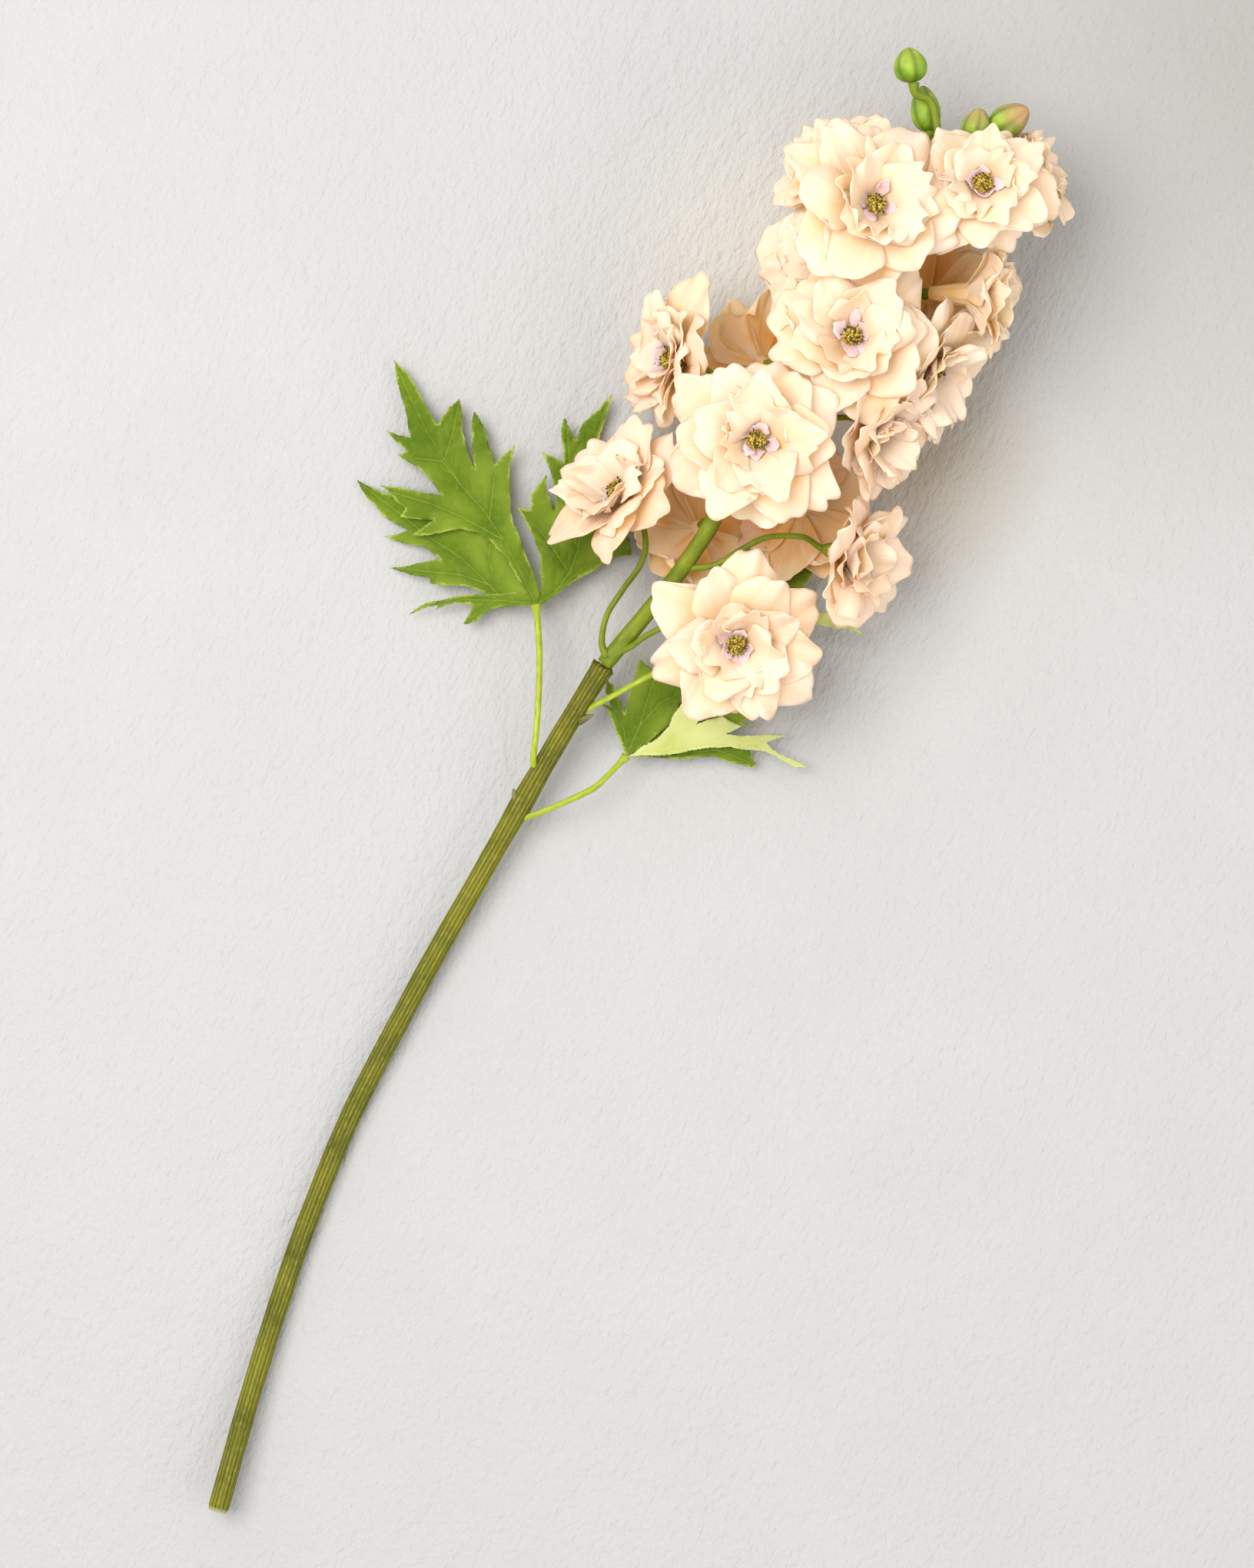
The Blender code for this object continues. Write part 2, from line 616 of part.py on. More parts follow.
def petal(name, whorl, turn, radius, opening, draw, frame, fence, into):
    """One petal: a grid bent to its shape, held back behind the fence, and thickened."""
    rows = whorl["rows"]
    shape = petal_shape(whorl, radius, opening, draw)
    spin = Matrix.Rotation(turn, 4, "Z")
    mesh = bpy.data.meshes.new(name)
    grid = bmesh.new()
    bmesh.ops.create_grid(grid, x_segments=2, y_segments=len(rows) - 1, size=1.0)
    back = frame.inverted()
    for vertex in grid.verts:
        row = round((vertex.co.y + 1) / 2 * (len(rows) - 1))
        wave = PETAL_WAVE * draw.uniform(-1, 1) if 0 < rows[row] < 1 else 0.0
        point = petal_point(shape, rows[row], vertex.co.x) + Vector((0, 0, wave))
        vertex.co = back @ held_back(frame @ spin @ point, *fence)
    bmesh.ops.remove_doubles(grid, verts=grid.verts, dist=SEAM_DISTANCE)
    bmesh.ops.triangulate(grid, faces=grid.faces)
    grid.to_mesh(mesh)
    grid.free()
    obj = new_object(name, mesh, into)
    obj.matrix_world = frame
    solid = obj.modifiers.new("Solidify", "SOLIDIFY")
    solid.thickness = PETAL_THICKNESS
    solid.offset = 0.0
    return obj


def bloom_petals(name, index, parts):
    """A bloom's core with its three whorls of petals, in one solid."""
    frame = bloom_matrix(name)
    radius, opening = bloom_radius(name), BLOOMS[name][5]
    fence = limits(name)
    foot = Vector((0, 0, -core_depth(name)))
    core = cone("core", foot, Vector((0, 0, 0)), CORE_FOOT_RADIUS, CORE_RADIUS, 6, parts)
    core.matrix_world = frame @ core.matrix_world
    petals = []
    for layer, whorl in enumerate(WHORLS):
        count = FEWER_PETALS[name][layer] if name in FEWER_PETALS else whorl["count"]
        for number in range(count):
            draw = random.Random(1000 * index + 20 * layer + number)
            around = whorl["turn"] + BLOOM_TURN * index + 360 * number / count
            turn = math.radians(around + draw.uniform(-6, 6))
            petals.append(petal(
                f"petal_{layer}_{number}", whorl, turn, radius, opening, draw, frame, fence, parts))
    return boolean(core, petals, "UNION", f"bloom_{name}", parts, "MANIFOLD")


def bloom_eye(name, index, parts):
    """Golden stamens round a dome, and small lilac petals, in one solid just above the core."""
    frame = bloom_matrix(name) @ Matrix.Translation((0, 0, CLEARANCE))
    dome_top = Vector((0, 0, EYE_HEIGHT_ON_CORE))
    dome = cone("dome", Vector((0, 0, 0)), dome_top, EYE_RADIUS, EYE_RADIUS, 5, parts)
    dome.matrix_world = frame @ dome.matrix_world
    pieces = []
    draw = random.Random(7000 + index)
    for number in range(STAMEN_COUNT):
        angle = 2 * math.pi * number / STAMEN_COUNT + draw.uniform(-0.2, 0.2)
        lean = draw.uniform(0.10, 0.34)
        outwards = Vector((math.cos(angle), math.sin(angle), 0))
        root = outwards * STAMEN_ROOT[0] + Vector((0, 0, STAMEN_ROOT[1]))
        tip = root + (outwards * lean + Vector((0, 0, 1))).normalized() * STAMEN_LENGTH
        pieces.append(cone(f"stamen_{number}", root, tip, *STAMEN_RADII, 3, parts))
        pieces[-1].matrix_world = frame @ pieces[-1].matrix_world
    for number in range(LILAC_COUNT):
        shape = dict(LILAC_SHAPE, length=LILAC_LENGTH * draw.uniform(0.9, 1.1))
        spin = Matrix.Rotation(2 * math.pi * (number + 0.5) / LILAC_COUNT + draw.uniform(-0.2, 0.2), 4, "Z")
        grid = bmesh.new()
        bmesh.ops.create_grid(grid, x_segments=1, y_segments=2, size=1.0)
        for vertex in grid.verts:
            share = LILAC_ROWS[round(vertex.co.y + 1)]
            vertex.co = spin @ petal_point(shape, share, vertex.co.x)
        bmesh.ops.remove_doubles(grid, verts=grid.verts, dist=SEAM_DISTANCE)
        bmesh.ops.triangulate(grid, faces=grid.faces)
        mesh = bpy.data.meshes.new("lilac")
        grid.to_mesh(mesh)
        grid.free()
        pieces.append(new_object(f"lilac_{number}", mesh, parts))
        pieces[-1].matrix_world = frame
        solid = pieces[-1].modifiers.new("Solidify", "SOLIDIFY")
        solid.thickness = PETAL_THICKNESS
        solid.offset = 0.0
    return boolean(dome, pieces, "UNION", f"eye_{name}", parts, "MANIFOLD")


def bud(name, parts):
    """A ribbed egg-shaped bud on the end of its stalk."""
    base_spot, tip_spot, radius = BUDS[name]
    base = place(*base_spot)
    tip = place(*tip_spot)
    along = tip - base
    mesh = bpy.data.meshes.new(name)
    shape = bmesh.new()
    bmesh.ops.create_uvsphere(shape, u_segments=BUD_RIBS * 2, v_segments=7, radius=1.0)
    for vertex in shape.verts:
        angle = math.atan2(vertex.co.y, vertex.co.x)
        groove = 1.0 - BUD_GROOVE * (1 - math.cos(BUD_RIBS * angle)) / 2
        taper = 1.0 - BUD_TAPER * vertex.co.z
        across = radius * MM * groove * taper
        vertex.co = Vector((vertex.co.x * across, vertex.co.y * across, vertex.co.z * along.length / 2))
    shape.to_mesh(mesh)
    shape.free()
    obj = new_object(name, mesh, parts)
    turn = along.to_track_quat("Z", "Y").to_matrix().to_4x4()
    obj.matrix_world = Matrix.Translation((base + tip) / 2) @ turn
    return obj


def leaf_height(x, y, leaf, shape):
    """Height in mm of a leaf lobe where it is seen at (x, y) in the picture."""
    joint_x, joint_y, height = leaf["joint"]
    away = math.hypot(x - joint_x, y - joint_y) / PIXELS_PER_MM
    fall = shape["droop"] * (1 - math.exp(-away / DROOP_REACH))
    (size_x, length_x, phase_x), (size_y, length_y, phase_y) = LEAF_WAVES
    wave = size_x * math.sin(x / length_x + phase_x) + size_y * math.sin(y / length_y + phase_y)
    lift = shape["lift"] * min(1.0, away / LIFT_REACH)
    return max(height + lift - fall + wave * min(1.0, away / WAVE_REACH), LEAF_LOWEST)


def lobe(name, leaf, shape, into):
    """One cut-edged lobe of a leaf, drooping to the table from the leaf's joint."""
    mesh = bpy.data.meshes.new(name)
    blade = bmesh.new()
    corners = [blade.verts.new(place(x, y, leaf_height(x, y, leaf, shape))) for x, y in shape["outline"]]
    face = blade.faces.new(corners)
    bmesh.ops.triangulate(blade, faces=[face])
    bmesh.ops.recalc_face_normals(blade, faces=blade.faces)
    blade.to_mesh(mesh)
    blade.free()
    obj = new_object(name, mesh, into)
    solid = obj.modifiers.new("Solidify", "SOLIDIFY")
    solid.thickness = LEAF_THICKNESS
    solid.offset = 0.0
    return obj


def leaf_node(name, parts):
    """A leaf's lobes on its petiole, whose foot stands in a hole in the stem."""
    leaf = LEAVES[name]
    joint = place(*leaf["joint"])
    route = smooth_route([place(*spot) for spot in leaf["petiole"]] + [joint], PETIOLE_SPACING)
    petiole = tube("petiole", route, [PETIOLE_RADIUS] * len(route), parts, 2)
    pieces = [lobe(f"lobe_{number}", leaf, shape, parts) for number, shape in enumerate(leaf["lobes"])]
    pieces.append(ball("joint", joint, LEAF_JOINT_RADIUS, parts))
    return boolean(petiole, pieces, "UNION", name, parts)


def main():
    clear_scene()
    parts = collection("delphinium_stem")
    helpers = collection("helpers", hidden=True)
    stem_green = material("stem_green", (0.16, 0.19, 0.03), 0.5)
    axis_green = material("axis_green", (0.24, 0.33, 0.05), 0.45)
    leaf_green = material("leaf_green", (0.10, 0.24, 0.03), 0.7)
    petal_cream = material("petal_cream", (0.90, 0.72, 0.50), 0.65)
    eye_gold = material("eye_gold", (0.55, 0.40, 0.05), 0.6)
    bud_green = material("bud_green", (0.22, 0.40, 0.06), 0.55)
    finish(main_stem(parts, helpers), stem_green)
    finish(flower_axis(parts), axis_green)
    for name in LEAVES:
        finish(leaf_node(name, parts), leaf_green)
    for index, name in enumerate(BLOOMS):
        finish(bloom_petals(name, index, parts), petal_cream)
        finish(bloom_eye(name, index, parts), eye_gold)
    for name in BUDS:
        finish(bud(name, parts), bud_green)


main()
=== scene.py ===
"""The looks of an artificial delphinium stem, cut and laid down on a pale table.

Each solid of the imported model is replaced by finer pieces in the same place: cloth petals in whorls, lilac
petals and golden stamens in each eye, a ribbed stem in its collar, a smooth flower axis with its pedicels,
veined cloth leaves on their petioles, and ribbed buds.
"""

import math
import random

import bpy
import numpy as np
from mathutils import Matrix, Vector
from mathutils.geometry import delaunay_2d_cdt


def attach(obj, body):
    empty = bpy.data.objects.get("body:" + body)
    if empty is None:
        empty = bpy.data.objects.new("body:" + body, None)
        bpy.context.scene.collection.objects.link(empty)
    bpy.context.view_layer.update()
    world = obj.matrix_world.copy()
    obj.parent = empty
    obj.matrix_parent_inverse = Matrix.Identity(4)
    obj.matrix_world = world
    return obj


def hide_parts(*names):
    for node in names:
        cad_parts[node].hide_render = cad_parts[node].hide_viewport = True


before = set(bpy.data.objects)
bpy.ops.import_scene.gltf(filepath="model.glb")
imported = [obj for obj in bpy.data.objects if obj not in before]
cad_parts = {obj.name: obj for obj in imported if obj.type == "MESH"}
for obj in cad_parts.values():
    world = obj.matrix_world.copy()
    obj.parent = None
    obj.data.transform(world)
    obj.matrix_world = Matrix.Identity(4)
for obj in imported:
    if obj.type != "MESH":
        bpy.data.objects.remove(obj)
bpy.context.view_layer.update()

MM = 0.001


def spots(text):
    """Places written as x,y or x,y,height, with spaces between them."""
    return [tuple(map(float, spot.split(","))) for spot in text.split()]


# Places are written as they are seen from straight above: picture x, picture y, and the height in mm.
PICTURE_SIZE = (1632, 2040)
PICTURE_MIDDLE = (816, 1020)
PIXELS_PER_MM = 3.0
EYE_HEIGHT = 1500.0
LEAN = math.radians(25)
ORIGIN_OFFSET = Vector((-50.4, -15.4))
SENSOR = 36.0

# Table. Broad patches of painted light and shade on it: the place in the picture, where they are full and
# where they end in metres, and their tint. Painted shade in the corner past the buds, painted warm shade
# beside the spike, and painted light thrown by the petals.
TABLE_SIZE = 8.0
PAINTED_TABLE_SHADING = [
    ((1720, 60, 0), 0.03, 0.25, (0.78, 0.765, 0.74)),
    ((1195, 600, 0), 0.01, 0.062, (0.90, 0.82, 0.70)),
    ((1050, 370, 0), 0.025, 0.095, (1.24, 1.20, 1.12)),
]

# Light: the lamps' direction, distance, size, power and colour
SKY_COLOUR = (1.0, 0.985, 0.96)
SKY_STRENGTH = 0.92
LAMP_AIM = Vector((0.02, 0.1, 0.03))
LAMPS = {
    "window": ((-0.42, 0.16, 1.0), 1.7, 1.1, 33, (1.0, 0.98, 0.95)),
    "fill": ((0.75, -0.45, 0.75), 1.6, 1.3, 9, (1.0, 0.94, 0.86)),
}

# Main stem
STEM_RADIUS = 4.5 * MM
STEM_ROUTE = spots("""
    283,1966,13 330,1800,8 378,1650,5 415,1550,4.6 457,1450,4.6 508,1350,6 562,1250,8 619,1150,11.5
    676,1050,15.5 734,950,19.5 785,867,23.5""")
STEM_RIBS = 15
STEM_FURROWS = 7
RIB_DEPTH = 0.075
STEM_SWELLINGS = {1060: 0.12, 1000: 0.06, 867: 0.08}
SWELLING_REACH = 20 * MM
CUT_ROUNDING = 0.8 * MM
PALE_CUT = 0.9 * MM
COLLAR_REACH = 3 * MM
RAGGED_REACH = 5 * MM
RAGGED_SIZE = 0.8 * MM
STUBS = spots("668,1026,18 766,880,24 772,930,21")
STUB_RADIUS = 1.9 * MM
STUB_TIP_RADIUS = 0.3 * MM
STUB_ROOT = 6 * MM
UV_PER_METRE = 5

# Flower axis
AXIS_RADIUS = 3.6 * MM
AXIS_TIP_RADIUS = 1.7 * MM
AXIS_TAPER = 1.5
AXIS_JOINT = (925, 692, 40)
AXIS_ROUTE = spots("""
    787,864,23.8 812,834,26 840,800,29 880,750,34 915,700,39 945,645,44 980,592,48 1020,530,51 1070,460,54
    1115,395,55 1155,330,55 1190,265,55 1215,215,56 1224,190,57""")
PEDICEL_RADIUS = 1.25 * MM
FOOT_REACH = 3 * MM
PEDICEL_ROUTES = {
    "low_front": spots("800,850,25 820,842,29 845,825,34 880,812,40 925,818,45"),
    "low_left": spots("790,855,26 783,835,27 790,800,29 812,765,31 833,735,33 840,705,34"),
    "low_right": spots("890,740,35 930,735,38 965,715,42 1000,699,46 1045,699,46"),
}

# Blooms: picture x and y of the eye, its height, the way that it faces (right, up, towards the viewer), the
# radius of its outer petals in mm, how many degrees more its petals rise at root and tip, and its blush.
BLOOMS = {
    "low_front": (958, 838, 62, (0.10, -0.25, 0.95), 36, (0, 0), 0.35),
    "low_left": (806, 640, 43, (-0.55, 0.42, 0.66), 34, (14, 10), 0.5),
    "low_right": (1102, 722, 50, (0.76, -0.26, 0.52), 33, (24, 20), 0.3),
    "under_low_left": (902, 694, 14, (-0.35, -0.30, -0.85), 30, (0, 0), 0.1),
    "under_low_right": (1048, 668, 16, (0.35, -0.35, -0.80), 33, (0, 0), 0.6),
    "centre": (985, 573, 87, (-0.05, -0.06, 1.0), 37, (0, 0), 0.3),
    "left": (876, 467, 50, (-0.80, 0.10, 0.50), 33, (12, 10), 0.5),
    "right": (1140, 563, 60, (0.58, -0.46, 0.55), 33, (24, 24), 0.2),
    "under_left": (985, 474, 15, (-0.4, 0.1, -0.85), 30, (0, 0), 0.0),
    "upper_centre": (1108, 438, 80, (0.05, 0.05, 1.0), 37, (0, 0), 0.2),
    "upper_left": (1080, 351, 53, (-0.52, 0.04, 0.70), 38, (4, 4), 0.0),
    "right_back": (1212, 480, 50, (0.70, -0.38, 0.45), 34, (16, 12), 0.0),
    "under_right": (1220, 388, 20, (0.50, 0.0, -0.65), 33, (0, 0), 0.0),
    "upper_right": (1270, 384, 54, (0.92, -0.08, 0.24), 31, (40, 14), 0.1),
    "top_front": (1138, 268, 86, (0.26, 0.12, 0.93), 38, (0, 0), 0.2),
    "top_left": (1085, 225, 60, (-0.45, 0.45, 0.65), 30, (0, 0), 0.1),
    "top_right": (1277, 240, 80, (0.14, 0.10, 0.97), 31, (0, 0), 0.1),
    "top_right_back": (1338, 225, 52, (0.75, 0.32, 0.35), 30, (8, 8), 0.1),
}
PRESSED_BLOOMS = ("under_low_left", "under_low_right", "under_left", "under_right")
BARE_THROATS = (*PRESSED_BLOOMS, "upper_right")
BLOOM_TURN = 37

# A whorl of petals: how many, their length and half-width as shares of the bloom's radius, where they root,
# how steeply they rise at the root and at the tip, how much they cup, ruffle, fold and curl, how far out
# their peach depth reaches (partly the cloth's own peach, partly painted warm shade under the next whorl),
# and the first one's turn.
WHORL_COLUMNS = "count length width root rise cup ruffle fold curl depth turn".split()
WHORLS = [dict(zip(WHORL_COLUMNS, row)) for row in (
    (6, 1.02, 0.42, (1.6, -6.2), (14, -4), 0.05, 0.02, 0.04, -0.04, 2.8, 0),
    (6, 0.9, 0.38, (2.0, -5.0), (26, 10), 0.1, 0.022, 0.046, -0.03, 2.3, 30),
    (5, 0.72, 0.34, (2.4, -3.4), (36, 42), 0.24, 0.03, 0.055, -0.07, 1.9, 12),
    (5, 0.55, 0.3, (2.8, -1.2), (18, 92), 0.5, 0.06, 0.06, -0.26, 1.5, 50),
)]
PETAL_THICKNESS = 0.24 * MM
PETAL_COLUMNS = 20
PETAL_ROWS = 17
ROW_CROWDING = 0.85

# A petal's outline as shares of its length and width, and its fine crimps
CLAW = 0.16
WIDEST_AT = 0.70
TIP_FROM = 0.76
TIP_NARROWING = 0.22
CRIMP = 0.010
CRIMP_COUNT = 6.0
LEAST_BEND = 0.05
STEEPEST_ROOT = 84
STEEPEST_TIP = 96

# How pale petals are at the root, in open blooms and in those that close by more than so many degrees,
# where the extra paleness is partly painted light on their steeper, shaded petals; and the painted shade on
# the pressed blooms under the spike
PALE_OPEN = 0.30
PALE_CLOSED = 0.50
CLOSED_FROM = 5
PRESSED_SHADE = 0.55

# Where blooms press on each other, on the axis, on the buds and on what lies under them
OVERLAP = 12.0 * MM
LAYER_GAP = 0.45 * MM
FREE_SHARE = 0.80
PRESS = 1.6
LEAST_ROOM = 0.1 * MM
HOLD_PASSES = 6
AXIS_WATCH = 0.7
FLOOR_UNDER = {"low_left": 17 * MM, "low_front": 34 * MM, "low_right": 24 * MM}
TABLE_GAP = 0.3 * MM
CLEARANCE = 0.3 * MM

# A bloom's throat and its green cup
CORE_RADIUS = 5.4 * MM
CORE_FOOT_RADIUS = 2.6 * MM
CORE_DEPTH = 9 * MM
LONG_THROATS = {"upper_right": 20 * MM}
THROAT_RIBS = 10
CALYX_POINTS = 5
CALYX_NOTCH = 3.0 * MM

# Eye of a bloom
ANTHER_COUNT = 40
ANTHER_SIZE = 0.62 * MM
FILAMENT_SIZE = (0.3 * MM, 2.2 * MM)
CLUSTER_RADIUS = 4.3 * MM
GOLDEN_ANGLE = 2.39996
SPECK_COUNT = 12
SPECK_SIZE = 0.46 * MM
LILAC_LENGTH = 9.5 * MM
LILAC_ROOT = (2.6 * MM, 0.4 * MM)
LILAC_GRID = (8, 8)

# Buds: base and tip, and the greatest radius in mm
BUDS = {
    "bud_1": ((1189, 107, 60), (1181, 62, 61), 7.0),
    "bud_2": ((1209, 171, 50), (1200, 112, 47), 6.2),
    "bud_3": ((1266, 184, 64), (1276, 141, 67), 6.0),
    "bud_4": ((1290, 173, 60), (1338, 141, 66), 7.0),
}
BUD_STALKS = {
    "bud_1": spots("1222,200,56.5 1221,180,57 1218,152,58 1209,130,59"),
    "bud_2": spots("1222,200,56 1216,184,52.5"),
    "bud_3": spots("1223,196,57 1243,198,61"),
    "bud_4": spots("1224,200,56.5 1250,196,55.5"),
}
BUD_STALK_RADIUS = 1.6 * MM
BUD_RIBS = 5
BUD_STEPS = 26
BUD_TINGE = {"bud_1": 0.15, "bud_2": 0.1, "bud_3": 0.55, "bud_4": 0.75}

# Leaves: the petiole's route to the blade's joint, and the lobes. A lobe has its lift and droop in mm,
# whether its pale side is up, its outline from the joint round and back, and its main veins.
LEAF_THICKNESS = 0.42 * MM
PETIOLE_RADIUS = 1.2 * MM
LEAVES = {
    "leaf_left": (
        spots("700,1004,17 694,990,21 698,950,24 701,900,23 702,850,20 699,800,17 697,787,16"), [
        (2.0, 12, False, """
            697,787 680,762 668,742 655,722 640,705 620,692 600,688 575,693 533,697 565,676 521,672 528,662
            510,645 497,632 545,640 575,644 565,630 540,605 518,592 530,587 503,560 535,570 530,545 522,515
            513,468 530,485 550,520 570,553 585,530 598,518 602,560 618,612 614,550 617,535 632,560 644,604
            670,580 663,615 664,645 668,680 680,710 695,745 703,775""", """
            697,787 676,742 655,702 630,665 600,632 578,598 556,562 536,522 516,476 / 637,676 640,650
            643,620 / 600,632 575,600 540,596 / 578,598 590,560 596,528 / 655,702 600,672 560,655
            508,640"""),
        (-0.5, 14, False, """
            694,788 660,783 627,770 605,762 560,759 560,752 508,739 545,733 573,728 553,712 500,698 533,690
            500,672 480,650 465,625 497,640 530,656 570,672 620,686 655,714 682,748 698,780""", """
            692,786 656,780 630,755 600,726 560,700 520,668 472,632 / 640,762 600,748 560,744 516,739 /
            640,745 636,722 638,706"""),
        (-1.0, 11, False, """
            697,789 650,790 638,793 621,808 603,812 616,786 590,784 568,793 570,786 532,800 555,784 590,777
            627,773 670,770 697,776""", """
            695,785 650,781 600,780 540,795 / 645,781 622,796 607,809"""),
        (0.5, 12, False, """
            698,788 705,760 703,725 695,700 685,680 672,660 690,664 691,645 712,618 711,640 722,665 724,640
            718,617 705,588 733,603 730,560 735,543 749,573 760,550 796,513 781,565 776,605 785,620 796,600
            803,573 805,610 800,645 815,690 822,722 795,726 750,755 725,773 706,785""", """
            699,786 722,770 741,745 752,715 757,670 762,610 790,525 / 738,742 718,712 698,684 / 757,670
            742,620 738,560 / 722,770 760,738 812,716"""),
    ]),
    "leaf_right": (
        spots("672,1068,14 690,1062,17 725,1048,19 750,1037,19 775,1024,18 797,1003,16 815,984,14"), [
        (0.5, 8, False, """
            815,984 805,960 797,938 783,915 795,919 788,900 790,885 800,893 806,910 813,928 820,900 826,880
            833,857 850,872 875,880 905,893 903,903 885,915 870,945 840,970""", """
            816,982 832,945 842,912 852,882 / 816,982 812,950 795,905 / 832,945 858,915 895,897"""),
        (-0.5, 6, False, """
            817,984 850,955 880,925 907,900 950,893 1000,880 1035,868 1050,862 1046,885 1043,900 1025,910
            1000,920 965,940 985,944 950,942 900,955 860,972""", """
            817,984 862,955 905,928 960,912 1040,878 / 905,928 925,905 950,897"""),
        (3.0, 8, True, """
            818,984 835,972 850,965 870,945 880,925 890,911 896,922 917,915 921,928 905,943 940,932 965,945
            945,955 980,957 1025,957 997,966 1005,975 1025,986 1052,999 1035,998 1010,984 990,976 950,972
            900,976 860,983""", """
            818,984 865,974 920,968 985,968 1045,997"""),
        (-0.8, 9, False, """
            817,986 860,976 900,970 950,966 975,975 984,996 979,999 955,993 930,984 895,987 860,986""", """
            817,985 880,980 935,976 980,994"""),
    ]),
    "leaf_under": (
        spots("758,926,20.5 775,917,22.5 800,904,25 825,890,26.5 850,877,27 890,862,26 925,850,24"), [
        (0.6, 8, False, """
            924,852 922,800 915,778 935,785 950,800 960,775 983,755 1010,746 1040,736 1072,722 1070,735
            1052,755 1040,768 1062,772 1046,790 1000,800 960,830""", """
            925,850 955,812 995,775 1065,728"""),
        (0.0, 10, True, """
            926,852 960,822 1000,800 1045,795 1075,797 1105,806 1126,829 1103,818 1075,815 1056,812 1040,830
            1060,850 1030,856 1005,850 970,862""", """
            926,851 985,822 1045,806 1120,824"""),
    ]),
}
WEAVE_SCALE = 420.0

# The colours of both sides of the leaf cloth: blade, dark, light (also the painted light on the blade's
# broad lighter zones), vein, and light that shines through
LEAF_COLOURS = [
    ("leaf_top", (0.112, 0.186, 0.003), (0.048, 0.096, 0.001), (0.240, 0.325, 0.030), (0.396, 0.473, 0.086),
     (0.258, 0.413, 0.009)),
    ("leaf_underside", (0.568, 0.611, 0.215), (0.482, 0.533, 0.146), (0.654, 0.688, 0.31),
     (0.671, 0.705, 0.327), (0.387, 0.516, 0.086)),
]

# A leaf's points, in pixels of the picture: how far apart they are and how far they are moved
EDGE_STEP = 1.6
LONG_EDGE = 14
BOWS = (-0.03, 0.035)
BLADE_STEP = 3.4
MAIN_VEIN_POINTS = 1.5
SIDE_VEIN_POINTS = 1.8
SIDE_VEIN_STEP = 24.0
EDGE_WOBBLE = 0.7
BLADE_WOBBLE = 0.8
FIELD_RIM_GAP = 1.2
FIELD_VEIN_GAP = 1.3
VEIN_GAP = 0.8
BESIDE_VEIN = ((1.1, 0.5), (-1.1, -0.5), (0.4, -1.1), (-0.4, 1.1))

# How far a leaf droops, and its lowest height, in mm
DROOP_REACH = 45
LOWEST_BLADE = 0.6


def arithmetic(operation):
    return lambda one, other: one.finish.node("Math", {"operation": operation}, {0: one, 1: other})


class Value:
    """A number, colour or vector in a material's nodes. Arithmetic on a number adds Math nodes."""

    __add__ = arithmetic("ADD")
    __sub__ = arithmetic("SUBTRACT")
    __mul__ = arithmetic("MULTIPLY")

    def __init__(self, finish, socket):
        self.finish = finish
        self.socket = socket

    def between(self, low, high):
        """0 at low, 1 at high, and held there beyond them."""
        return self.finish.node("MapRange", {"clamp": True}, {0: self, 1: low, 2: high, 3: 0.0, 4: 1.0})


